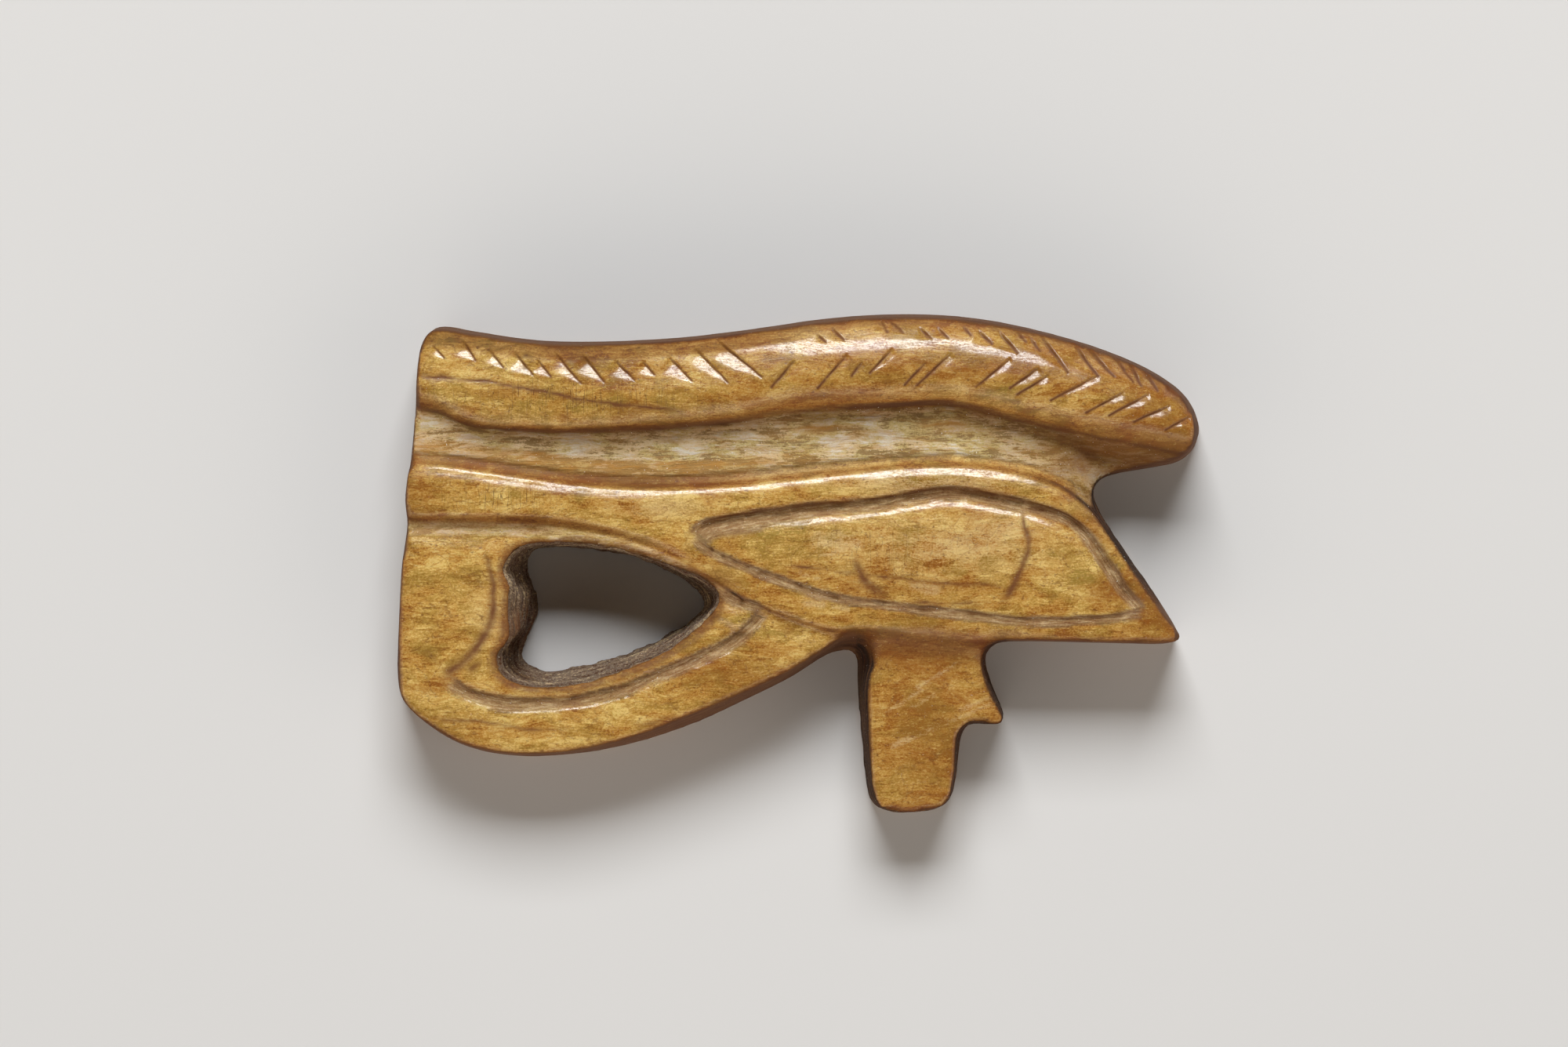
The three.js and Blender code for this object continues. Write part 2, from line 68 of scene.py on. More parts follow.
MM = 0.001

# The solid's length and height to a tenth of a millimetre, which the shares below refer to
LENGTH, HEIGHT, _ = (round((high - low) / MM, 1) for low, high in zip(*CAD_BOX))

# How high the carved front starts, how near the vertices lie that are merged, and how wide the back's edge
# is, in millimetres
FRONT_LEVEL = 3
MERGE_REACH = 0.001
BACK_EDGE = 0.3

# Half the floor's size in metres, the lamp's length and width as shares of its distance, the place of the
# camera over the face in millimetres, and the backdrop's brightness
FLOOR_HALF = 1.2
LAMP_SHARES = (0.62, 0.42)
FRAME_MIDDLE = (-1.2, 2.95)
BACKDROP = 0.75

# Routes on the face, as shares of the length and the height
UPPER_LID_GROOVE = [
    (0.367, 0.552), (0.383, 0.572), (0.412, 0.583), (0.461, 0.594), (0.519, 0.606), (0.577, 0.613),
    (0.636, 0.628), (0.675, 0.637), (0.714, 0.633), (0.772, 0.614), (0.821, 0.592), (0.85, 0.559),
    (0.874, 0.506), (0.899, 0.447), (0.923, 0.402),
]
LOWER_LID_GROOVE = [
    (0.367, 0.552), (0.388, 0.525), (0.422, 0.498), (0.461, 0.473), (0.5, 0.452), (0.538, 0.431),
    (0.597, 0.419), (0.655, 0.406), (0.723, 0.394), (0.792, 0.384), (0.87, 0.389), (0.923, 0.4),
]
IRIS_LEFT = [(0.564, 0.523), (0.57, 0.494), (0.58, 0.466), (0.593, 0.447), (0.609, 0.43)]
IRIS_RIGHT = [
    (0.771, 0.614), (0.776, 0.578), (0.782, 0.544), (0.778, 0.512), (0.769, 0.478), (0.758, 0.442),
    (0.749, 0.422),
]
TEAR_LINE = [
    (0.108, 0.531), (0.117, 0.494), (0.121, 0.442), (0.12, 0.395), (0.106, 0.347), (0.089, 0.312),
    (0.056, 0.275),
]
TEAR_SPUR = [(0.111, 0.314), (0.098, 0.296), (0.087, 0.283)]
TAIL_GROOVE = [
    (0.066, 0.266), (0.091, 0.241), (0.13, 0.223), (0.178, 0.222), (0.227, 0.228), (0.276, 0.247),
    (0.324, 0.277), (0.373, 0.311), (0.412, 0.341), (0.436, 0.372), (0.456, 0.406),
]
TAIL_FORK = [(0.4, 0.447), (0.422, 0.425), (0.456, 0.406)]
OPENING_MIDDLE = (0.26, 0.405)
BROW_FOOT = [
    (-0.012, 0.812), (0.052, 0.802), (0.091, 0.774), (0.188, 0.761), (0.305, 0.765), (0.422, 0.782),
    (0.48, 0.8), (0.616, 0.812), (0.685, 0.815), (0.772, 0.783), (0.87, 0.749), (0.967, 0.72),
]
BROW_TOP = [
    (-0.01, 0.975), (0.052, 0.97), (0.13, 0.952), (0.207, 0.939), (0.285, 0.942), (0.383, 0.953),
    (0.48, 0.975), (0.577, 0.994), (0.655, 0.997), (0.736, 0.988), (0.818, 0.961), (0.899, 0.922),
    (0.94, 0.889), (0.98, 0.841),
]
BROW_SHOULDER = [
    (0.46, 0.906), (0.557, 0.922), (0.614, 0.931), (0.672, 0.938), (0.7, 0.933), (0.728, 0.922),
    (0.786, 0.903), (0.87, 0.872), (0.918, 0.833),
]
LID_EDGE = [
    (-0.012, 0.703), (0.058, 0.698), (0.227, 0.661), (0.305, 0.653), (0.402, 0.659), (0.558, 0.686),
    (0.685, 0.699), (0.772, 0.683), (0.831, 0.647), (0.87, 0.594), (0.908, 0.515), (0.974, 0.375),
]
LID_UNDER = [
    (-0.012, 0.586), (0.091, 0.585), (0.188, 0.58), (0.285, 0.549), (0.334, 0.521), (0.383, 0.478),
    (0.422, 0.439), (0.48, 0.396), (0.538, 0.366),
]

# Cut hairs of the brow, each from its start to its end: those above the ridge, then those below it
UPPER_HAIRS = [
    [(0.047, 0.93), (0.063, 0.903)], [(0.084, 0.941), (0.101, 0.898)], [(0.117, 0.923), (0.135, 0.884)],
    [(0.147, 0.919), (0.172, 0.87)], [(0.176, 0.903), (0.194, 0.866)], [(0.196, 0.919), (0.231, 0.853)],
    [(0.231, 0.914), (0.26, 0.856)], [(0.271, 0.903), (0.297, 0.859)], [(0.305, 0.9), (0.322, 0.87)],
    [(0.336, 0.911), (0.368, 0.858)], [(0.367, 0.93), (0.412, 0.855)], [(0.395, 0.944), (0.454, 0.866)],
    [(0.52, 0.953), (0.533, 0.934)], [(0.537, 0.967), (0.555, 0.938)], [(0.599, 0.98), (0.608, 0.953)],
    [(0.61, 0.978), (0.628, 0.953)], [(0.646, 0.967), (0.663, 0.941)], [(0.668, 0.967), (0.683, 0.942)],
    [(0.7, 0.969), (0.711, 0.947)], [(0.719, 0.961), (0.737, 0.93)], [(0.744, 0.961), (0.769, 0.912)],
    [(0.767, 0.959), (0.779, 0.934)], [(0.782, 0.947), (0.796, 0.916)], [(0.794, 0.958), (0.83, 0.873)],
    [(0.838, 0.934), (0.868, 0.866)], [(0.853, 0.93), (0.888, 0.866)], [(0.888, 0.912), (0.911, 0.855)],
    [(0.907, 0.898), (0.921, 0.848)], [(0.926, 0.881), (0.942, 0.838)], [(0.951, 0.853), (0.969, 0.83)],
]
LOWER_HAIRS = [
    [(0.494, 0.902), (0.463, 0.844)], [(0.559, 0.914), (0.52, 0.842)], [(0.577, 0.9), (0.562, 0.866)],
    [(0.614, 0.925), (0.584, 0.872)], [(0.656, 0.898), (0.627, 0.848)], [(0.687, 0.916), (0.642, 0.848)],
    [(0.76, 0.906), (0.715, 0.845)], [(0.795, 0.887), (0.756, 0.842)], [(0.807, 0.873), (0.765, 0.83)],
    [(0.868, 0.872), (0.806, 0.819)], [(0.899, 0.838), (0.85, 0.794)], [(0.931, 0.836), (0.878, 0.789)],
    [(0.957, 0.812), (0.909, 0.777)], [(0.983, 0.792), (0.948, 0.761)],
]

# Fine lines of the face: the crack along the brow, edges of the horn's layers, and thin scratched lines
FINE_LINES = [
    [
        (0.02, 0.868), (0.061, 0.867), (0.11, 0.859), (0.149, 0.848), (0.188, 0.838), (0.227, 0.825),
        (0.266, 0.816), (0.305, 0.809), (0.363, 0.802),
    ],
    [(0.463, 0.498), (0.524, 0.489), (0.61, 0.472), (0.678, 0.461), (0.764, 0.455)],
    [(0.612, 0.427), (0.649, 0.423), (0.692, 0.421), (0.747, 0.424)],
    [(0.032, 0.2), (0.069, 0.189), (0.118, 0.184), (0.169, 0.17), (0.233, 0.175)],
    [(0.276, 0.18), (0.315, 0.184), (0.353, 0.208)],
    [(0.032, 0.345), (0.05, 0.305), (0.06, 0.277)],
    [(0.188, 0.678), (0.24, 0.666), (0.285, 0.659), (0.353, 0.656), (0.422, 0.666)],
]

# Shallow pale scrapes: their start, their end and half their width in millimetres
SCRAPES = [
    ((0.507, 0.42), (0.529, 0.419), 0.32), ((0.54, 0.414), (0.559, 0.409), 0.2),
    ((0.5, 0.48), (0.521, 0.47), 0.2), ((0.525, 0.52), (0.54, 0.516), 0.22),
    ((0.641, 0.456), (0.665, 0.447), 0.5), ((0.524, 0.547), (0.568, 0.539), 0.8),
    ((0.616, 0.138), (0.685, 0.188), 0.26), ((0.636, 0.211), (0.665, 0.239), 0.22),
    ((0.837, 0.573), (0.866, 0.544), 0.3), ((0.611, 0.208), (0.65, 0.25), 0.2),
    ((0.617, 0.135), (0.75, 0.232), 0.13), ((0.641, 0.25), (0.69, 0.297), 0.16),
    ((0.7, 0.21), (0.745, 0.24), 0.2),
]


def moved(route, up):
    """A route moved up the face, as a share of the height."""
    return [(along, place + up) for along, place in route]


# How far the grooves, the hairs and the edges reach to the left and the right of their routes, in millimetres
TORN_GROOVES = [
    (UPPER_LID_GROOVE, 0.48, 0.42), (LOWER_LID_GROOVE, 0.34, 0.34),
    (TAIL_GROOVE, 0.4, 0.5), (TAIL_FORK, 0.4, 0.4),
]
SMOOTH_GROOVES = [
    (IRIS_LEFT, 0.2, 0.27), (IRIS_RIGHT, 0.17, 0.19), (TEAR_LINE, 0.26, 0.26), (TEAR_SPUR, 0.15, 0.2),
]
GROOVES = TORN_GROOVES + SMOOTH_GROOVES
HAIR_BEDS = [(hair, 0.32, 0.32) for hair in UPPER_HAIRS + LOWER_HAIRS]
HAIR_LINES = [(hair, 0.2, 0.2) for hair in UPPER_HAIRS + LOWER_HAIRS]
THIN_LINES = [(line, 0.08, 0.08) for line in FINE_LINES]
LEG_STEP = [([(0.57, 0.338), (0.76, 0.338)], 0.9, 0.9)]
CRESTS = [(LID_EDGE, 0.35, 0.35), (moved(UPPER_LID_GROOVE, -0.016), 0.3, 0.3)]

# Dark lines along the steps above the lid and under the brow: route, strength and half width in millimetres
STEP_LINES = [(moved(LID_EDGE, 0.016), 0.35, 0.26), (BROW_FOOT, 0.8, 0.17)]

# How many hairs, counted from the left above the ridge, have a thin line, half the width of a thin and of a
# full line in millimetres, and the golden share, which spreads the hairs' sizes evenly
THIN_HAIRS = 12
THIN_LINE = 0.09
FULL_LINE = 0.13
GOLDEN = 0.618

# Half the width and half the height of an oval round the opening, in millimetres
OPENING_HALF = (10, 6)

# Where the sides are rough, on the leg and on the slanting right edge: left, right, foot and top as shares
ROUGH_LEG = (0.57, 0.76, -1, 0.37)
ROUGH_SLANT = (0.84, 2, 0.42, 0.68)

# How far the brow's upper part, its top edge and its shoulder are lifted, in millimetres
BROW_LIFT = 0.34
TOP_EDGE_LIFT = 0.2
SHOULDER_LIFT = 0.12

# Lift of the valley under the lid: where it begins and ends along the length, and its height, in millimetres
UNDER_LID_BEGIN = (-21, -15)
UNDER_LID_END = (-5, -1)
UNDER_LID_LIFT = 0.45

# The facet along the lid's upper edge: its depth, how much deeper it is at its left and over the eye, and
# half its width, in millimetres
FACET_DEPTH = 0.02
FACET_DEEPER = 0.06
FACET_WIDTH = 0.26

# How high the torn fibres stand in the grooves, in millimetres
TORN_RISE = 0.07


def metres(name, description, default):
    """A length that the user can change."""
    return FloatProperty(name=name, description=description, default=default, unit="LENGTH", precision=6)


class CarvingSizes(bpy.types.PropertyGroup):
    """Sizes of the fine carving"""

    spacing: metres("Spacing", "Size of the body's faces before the front's are halved", 0.44 * MM)
    hair_depth: metres("Hair depth", "Depth of the brow's cut hairs", 0.24 * MM)
    line_depth: metres("Line depth", "Depth of the crack and of the thin lines", 0.03 * MM)
    scrape_depth: metres("Scrape depth", "Depth of the shallow scrapes", 0.04 * MM)
    wear: IntProperty(name="Wear", description="Rounds of rubbing down of the edges", default=3, min=0)


def seen(red, green, blue):
    """A colour as it is seen on a screen, from 0 to 255, in the renderer's own numbers."""
    return tuple(((value / 255 + 0.055) / 1.055) ** 2.4 for value in (red, green, blue))


def colour_of(name, description, default):
    """A colour that the user can change, in the renderer's own numbers."""
    return FloatVectorProperty(name=name, description=description, default=default, size=3, subtype="COLOR")


def tint(name, description, *colour):
    """A colour that the user can change, as it is seen on a screen."""
    return colour_of(name, description, seen(*colour))


class HornColours(bpy.types.PropertyGroup):
    """Colours of the horn and of what lies in its cuts"""

    gold: tint("Gold", "Most of the polished front", 208, 162, 84)
    ochre: tint("Ochre", "Deeper parts of the polished front", 184, 132, 60)
    straw: tint("Straw", "Bright flecks and clouds", 230, 196, 118)
    amber: tint("Amber", "Brown clouds and streaks", 146, 90, 36)
    olive: tint("Olive", "Greenish patches", 152, 130, 60)
    rust: tint("Rust", "Thin edges and the lines between layers", 112, 66, 34)
    umber: tint("Umber", "Dark fibres and the darkest edges", 82, 50, 30)
    dirt: tint("Dirt", "Dirt in the cuts", 150, 114, 76)
    pale: tint("Pale", "Scrapes and raised fibres", 214, 186, 144)
    moss: tint("Moss", "Rough horn of the channel, where it is greenish", 212, 188, 124)
    stone: tint("Stone", "Rough horn of the channel, where it is grey", 224, 196, 150)
    bark: tint("Bark", "Smooth brown sides", 96, 64, 38)
    # This tone multiplies the horn where it is darkened: painted shade in hollows, on slopes turned from the
    # lamp and on the brow's top band, and darker turned edges
    tan: tint("Tan", "How edges and hollows darken the horn", 190, 164, 132)
    ash: tint("Ash", "Rough grey sides and walls", 122, 102, 84)
    soot: tint("Soot", "Deeper fibres of the rough channel", 156, 128, 82)
    crumb: tint("Crumb", "Pale crumbs caught in the pores", 232, 220, 200)


class StageSettings(bpy.types.PropertyGroup):
    """Where the camera and the lamp stand, and how strong the light is"""

    camera_height: metres("Camera height", "Height of the camera above the floor", 446 * MM)
    lens: FloatProperty(name="Lens", description="Focal length in millimetres", default=136.2)
    lamp_rise: FloatProperty(
        name="Lamp rise",
        description="Angle of the lamp above the floor",
        default=math.radians(39.5),
        subtype="ANGLE",
    )
    lamp_distance: metres("Lamp distance", "Distance from the amulet to the lamp", 1.5)
    lamp_power: FloatProperty(name="Lamp power", description="Power of the lamp", default=27.0, unit="POWER")
    lamp_tint: colour_of("Lamp colour", "Colour of the lamp's slightly cool light", (0.96, 1.0, 1.04))
    fill_strength: FloatProperty(
        name="Fill strength",
        description="Strength of the low light from the lamp's far side",
        default=1.65,
    )
    fill_tint: colour_of("Fill colour", "Colour of the warm low light", (1.1, 1.0, 0.9))
    floor: colour_of("Floor", "Colour of the pale floor", (0.735, 0.715, 0.69))


def placed(shares):
    """Places on the face in millimetres, from their shares."""
    return (np.array(shares) - 0.5) * (LENGTH, HEIGHT)


def smoothed(points, steps=6):
    """A smooth line through the points."""
    ends = [2 * points[0] - points[1], *points, 2 * points[-1] - points[-2]]
    turn = np.linspace(0, 1, steps, endpoint=False)[:, None]
    rows = []
    for a, b, c, d in zip(ends, ends[1:], ends[2:], ends[3:]):
        cubic = (3 * b - a - 3 * c + d) * turn**3 + (2 * a - 5 * b + 4 * c - d) * turn**2
        rows.append(0.5 * (cubic + (c - a) * turn + 2 * b))
    return np.vstack([*rows, points[-1:]])


def eased(low, high, values):
    """0 below low, 1 above high, and a smooth rise between."""
    share = np.clip((values - low) / (high - low), 0, 1)
    return share * share * (3 - 2 * share)


def hump(value):
    """1 where the value is 0, and falling softly to 0 on both sides."""
    return np.exp(-(value**2))


def keep_larger(total, near, values):
    """Puts the values at the near places where they are larger than what is there."""
    total[near] = np.maximum(total[near], values)


def ripples(places, scale, octaves=2, seed=0):
    """Smooth noise at the places; scale is how many ripples fit in a millimetre, for each axis or for all."""
    spots = places * np.array(scale) + seed * 17.3
    return np.array([noise.fractal(Vector(spot), 1.0, 2.0, octaves) for spot in spots])


class Skin:
    """The body's surface: its vertices in millimetres, their neighbours, and what carving leaves on them."""

    def __init__(self, mesh):
        self.mesh = mesh
        count = len(mesh.vertices)
        places = np.empty(count * 3, np.float32)
        mesh.vertices.foreach_get("co", places)
        self.places = places.reshape(-1, 3).astype(float) / MM
        ties = np.empty(len(mesh.edges) * 2, np.int32)
        mesh.edges.foreach_get("vertices", ties)
        self.ties = ties.reshape(-1, 2)
        self.degree = np.bincount(ties, minlength=count)
        self.find_facing()
        self.front = (self.facing[:, 2] > 0.2) & (self.places[:, 2] > FRONT_LEVEL)
        self.marks = {}

    def around(self, values):
        """The mean of each vertex's neighbours."""
        first, second = self.ties.T
        count = len(values)
        sums = [
            np.bincount(first, column[second], count) + np.bincount(second, column[first], count)
            for column in values.reshape(count, -1).T
        ]
        return (np.array(sums) / self.degree).T.reshape(values.shape)

    def rub(self, rounds, share=0.5, where=1.0):
        """Draws the vertices towards their neighbours' mean."""
        where = np.broadcast_to(where, len(self.places))[:, None]
        for _ in range(rounds):
            self.places += share * where * (self.around(self.places) - self.places)

    def even_out(self, rounds, where=1.0):
        """Takes small steps out of the surface and leaves its size as it is."""
        for _ in range(rounds):
            self.rub(1, 0.5, where)
            self.rub(1, -0.53, where)

    def fill(self, rounds, where):
        """Raises the hollows of a part until they are level with what is round them."""
        facing = self.facing.copy()
        for _ in range(12):
            facing = self.around(facing)
        facing /= np.linalg.norm(facing, axis=1)[:, None]
        for _ in range(rounds):
            rise = ((self.around(self.places) - self.places) * facing).sum(1)
            self.places += facing * (0.5 * where * np.maximum(rise, 0))[:, None]

    def lift(self, heights):
        """Moves the vertices out along the way that they face."""
        self.places += self.facing * heights[:, None]

    def store(self):
        """Writes the places back to the mesh."""
        self.mesh.vertices.foreach_set("co", (self.places * MM).astype(np.float32).ravel())
        self.mesh.update()

    def find_facing(self):
        """Works out the way that each vertex faces."""
        self.store()
        facing = np.empty(len(self.places) * 3, np.float32)
        self.mesh.vertex_normals.foreach_get("vector", facing)
        self.facing = facing.reshape(-1, 3).astype(float)

    def between(self, near, share):
        """The edges whose two ends both lie where the nearness is above a share."""
        return (near > share)[self.ties].all(1)

    def mark(self, name, values):
        """Keeps a value from 0 to 1 on each vertex for the horn's nodes."""
        self.marks[name] = np.clip(values, 0, 1)

    def save_marks(self):
        """Writes the marks to the mesh."""
        for name, values in self.marks.items():
            attribute = self.mesh.attributes.new(name, "FLOAT", "POINT")
            attribute.data.foreach_set("value", values.astype(np.float32))


def measured(route, places):
    """The gap from each place to a route, positive on its left, the run along it, and the route's length."""
    gap = np.full(len(places), 1e6)
    run = np.zeros(len(places))
    passed = 0.0
    for a, b in zip(route, route[1:]):
        span = b - a
        reach = np.hypot(*span)
        offset = places - a
        share = np.clip(offset @ span / reach**2, 0, 1)
        aside = offset - share[:, None] * span
        far = np.hypot(*aside.T)
        closer = far < np.abs(gap)
        left = span[0] * aside[:, 1] - span[1] * aside[:, 0] >= 0
        gap[closer] = np.where(left, far, -far)[closer]
        run[closer] = passed + share[closer] * reach
        passed += reach
    return gap, run, passed


def beside(places, shares, reach):
    """The places within reach of a route: their numbers, the gap to it, the run along it, and its length."""
    points = placed(shares)
    route = smoothed(points) if len(points) > 2 else points
    low, high = route.min(0) - reach, route.max(0) + reach
    near = np.nonzero(np.all((places[:, :2] > low) & (places[:, :2] < high), axis=1))[0]
    return (near, *measured(route, places[near, :2]))


def nearness(places, strips, margin):
    """How near each place is to any strip, from 1 on a strip to 0 a margin away from it."""
    total = np.zeros(len(places))
    for shares, left, right in strips:
        near, gap, _, _ = beside(places, shares, max(left, right) + margin)
        outside = np.maximum(gap - left, -gap - right)
        keep_larger(total, near, 1 - eased(0, margin, outside))
    return total


def merged_body():
    """The solid's own mesh, with its loose triangles joined."""
    body = bmesh.new()
    body.from_mesh(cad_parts[CAD_NODE].data)
    bmesh.ops.remove_doubles(body, verts=body.verts, dist=MERGE_REACH * MM)
    mesh = bpy.data.meshes.new("carved_horn")
    body.to_mesh(mesh)
    body.free()
    return mesh


def applied(piece):
    """Puts the result of the piece's modifiers in its mesh."""
    graph = bpy.context.evaluated_depsgraph_get()
    mesh = bpy.data.meshes.new_from_object(piece.evaluated_get(graph))
    piece.modifiers.clear()
    piece.data = mesh


def even_faces(piece, spacing):
    """Gives the piece even square faces in place of its long triangles."""
    remesh = piece.modifiers.new("even", "REMESH")
    remesh.mode = "VOXEL"
    remesh.voxel_size = spacing
    applied(piece)


def snap_to_solid(piece, chosen):
    """Lays the chosen vertices on the surface of the solid."""
    group = piece.vertex_groups.new(name="snapped")
    group.add(np.nonzero(chosen)[0].tolist(), 1.0, "REPLACE")
    wrap = piece.modifiers.new("snap", "SHRINKWRAP")
    wrap.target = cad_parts[CAD_NODE]
    wrap.wrap_method = "NEAREST_SURFACEPOINT"
    wrap.vertex_group = group.name
    applied(piece)
    piece.vertex_groups.clear()


def halve_faces(mesh, chosen):
    """Halves the faces round the chosen edges both ways."""
    body = bmesh.new()
    body.from_mesh(mesh)
    body.edges.ensure_lookup_table()
    edges = [body.edges[i] for i in np.nonzero(chosen)[0]]
    bmesh.ops.subdivide_edges(body, edges=edges, cuts=1, use_grid_fill=True)
    body.to_mesh(mesh)
    body.free()


def fill_back(mesh):
    """Fills the flat back with few faces in place of its even ones."""
    body = bmesh.new()
    body.from_mesh(mesh)
    back = [face for face in body.faces if face.normal.z < -0.99]
    bmesh.ops.delete(body, geom=back, context="FACES")
    rim = [edge for edge in body.edges if edge.is_boundary]
    filled = bmesh.ops.triangle_fill(body, edges=rim, use_beauty=True, normal=(0, 0, -1))
    faces = [part for part in filled["geom"] if isinstance(part, bmesh.types.BMFace)]
    edge = BACK_EDGE * MM
    bmesh.ops.inset_region(body, faces=faces, thickness=edge, use_boundary=True, use_even_offset=True)
    body.to_mesh(mesh)
    body.free()


def strip_between(places, upper, lower, soft):
    """1 between two lines that run across the face, and 0 outside them."""
    along = places[:, 0] / LENGTH + 0.5
    top = (np.interp(along, *np.array(upper).T) - 0.5) * HEIGHT
    foot = (np.interp(along, *np.array(lower).T) - 0.5) * HEIGHT
    return eased(0, soft, top - places[:, 1]) * eased(0, soft, places[:, 1] - foot)


def near_opening(places, margin=0):
    """Which places lie in the oval round the opening, widened by a margin in millimetres."""
    oval = np.array(OPENING_HALF) + margin
    return np.hypot(*((places[:, :2] - placed(OPENING_MIDDLE)) / oval).T) < 1


def inside(along, up, bounds):
    """Which shares lie in a rectangle, from its left, right, foot and top."""
    left, right, foot, top = bounds
    return (along > left) & (along < right) & (up > foot) & (up < top)


def patch(places, along, up, wide, high):
    """A soft oval patch on the face, in shares."""
    spot = (places[:, :2] - placed([along, up])) / (wide * LENGTH, high * HEIGHT)
    return np.exp(-(spot**2).sum(1))


def patches(places, ovals):
    """The sum of soft oval patches, each with its strength."""
    total = np.zeros(len(places))
    for along, up, wide, high, strength in ovals:
        total += strength * patch(places, along, up, wide, high)
    return total


# Where the horn is greenish, browner, paler and finely cracked: place, half size and strength; one of the
# browner patches is painted shadow on the leg's top
OLIVE_PATCHES = [
    (0.435, 0.731, 0.24, 0.035, 0.6), (0.279, 0.8, 0.08, 0.03, 0.6), (0.46, 0.56, 0.07, 0.03, 0.6),
    (0.665, 0.669, 0.08, 0.02, 0.3), (0.853, 0.492, 0.04, 0.05, 0.6), (0.758, 0.839, 0.035, 0.025, 0.8),
    (0.45, 0.38, 0.06, 0.03, 0.5), (0.05, 0.94, 0.06, 0.02, 0.5), (0.2, 0.93, 0.1, 0.015, 0.6),
    (0.6, 0.36, 0.06, 0.02, 0.4), (0.16, 0.63, 0.06, 0.015, 0.3), (0.1, 0.83, 0.06, 0.02, 0.6),
]
AMBER_AND_SHADOW_PATCHES = [
    (0.66, 0.16, 0.06, 0.17, 0.9), (0.967, 0.747, 0.05, 0.07, 0.8), (0.95, 0.39, 0.05, 0.05, 0.9),
    (0.85, 0.93, 0.12, 0.05, 0.7), (0.95, 0.79, 0.06, 0.07, 1.2), (0.66, 0.88, 0.12, 0.03, 0.4),
    (0.03, 0.63, 0.03, 0.05, 0.6), (0.02, 0.8, 0.02, 0.1, 0.6),
    (0.04, 0.16, 0.06, 0.04, 0.5), (0.19, 0.645, 0.05, 0.01, 0.8), (0.55, 0.83, 0.05, 0.02, 0.5),
    # The patch at (0.66, 0.33) browns the leg's top under the lid's step: painted shadow
    (0.86, 0.59, 0.03, 0.03, 0.7), (0.66, 0.33, 0.075, 0.045, 1.5), (0.5, 0.975, 0.4, 0.02, 0.6),
    (0.16, 0.36, 0.015, 0.08, 0.6), (0.42, 0.46, 0.05, 0.02, 0.5), (0.4, 0.29, 0.08, 0.04, 0.9),
    (0.89, 0.45, 0.035, 0.03, 1.2), (0.95, 0.87, 0.04, 0.04, 0.8),
    (0.52, 0.765, 0.025, 0.014, 1.2), (0.69, 0.772, 0.04, 0.016, 1.2), (0.92, 0.69, 0.03, 0.03, 1.0),
    (0.85, 0.73, 0.07, 0.04, 1.0), (0.86, 0.88, 0.14, 0.05, 0.5), (0.155, 0.38, 0.03, 0.03, 0.8),
    (0.6, 0.9, 0.4, 0.05, 0.35), (0.45, 0.83, 0.15, 0.03, 0.5), (0.66, 0.455, 0.09, 0.015, 0.4),
]
PALE_PATCHES = [
    (0.33, 0.61, 0.05, 0.02, 0.5), (0.06, 0.73, 0.04, 0.015, 0.4), (0.07, 0.575, 0.05, 0.01, 0.8),
    (0.68, 0.53, 0.12, 0.05, 0.5), (0.75, 0.575, 0.03, 0.03, 0.4), (0.12, 0.4, 0.03, 0.06, 0.3),
    (0.45, 0.69, 0.12, 0.02, 0.4), (0.66, 0.66, 0.1, 0.018, 0.9),
]
CRACKED_PATCHES = [
    (0.2, 0.825, 0.14, 0.035, 1.2), (0.13, 0.63, 0.07, 0.025, 1.0), (0.6, 0.53, 0.12, 0.06, 0.5),
]

# Single spots with a mark of their own: place and half size. The spot on the leg's top is painted shadow
# under the lid's step, and the spot at the channel's end darkens it
NOTCH = (0.868, 0.66, 0.022, 0.05)
LEG_TOP_SHADOW = (0.66, 0.333, 0.08, 0.025)
CHANNEL_END = (0.87, 0.68, 0.045, 0.06)
TAIL_ROOT = (0.4, 0.46, 0.02, 0.04)
LEDGE_START = (0.02, 0.69, 0.025, 0.025)


def mark_channel(skin, along):
    """Marks the rough channel, the valley under the lid at its left, and the notch at the channel's end."""
    places = skin.places
    channel = strip_between(places, BROW_FOOT, moved(LID_EDGE, 0.014), 0.3)
    channel *= 1 - 0.5 * eased(0.74, 0.88, along)
    valley = strip_between(places, LID_UNDER, moved(LID_UNDER, -0.035), 0.35)
    valley *= 1 - eased(-10, -2, places[:, 0])
    rough = np.maximum.reduce([channel * 0.95, valley * 0.55, patch(places, *NOTCH)])
    skin.mark("rough", rough * skin.front)


def mark_sides(skin, along, up):
    """Marks the sides, the turned edges, the opening's rim, and which of the sides are rough and grey."""
    upright = np.abs(skin.facing[:, 2])
    side = 1 - eased(0.32, 0.6, upright)
    rim = side.copy()
    for _ in range(14):
        rim = skin.around(rim)
    opening = near_opening(skin.places, 1)
    skin.mark("side", side)
    skin.mark("turned", np.maximum(1 - eased(0.5, 0.86, upright), 1.6 * rim))
    skin.mark("rim", eased(0.03, 0.18, rim) * near_opening(skin.places, 2) * (1 - side))
    skin.mark("grey", side * (opening | inside(along, up, ROUGH_LEG) | inside(along, up, ROUGH_SLANT)))
    skin.mark("wall", side * opening)


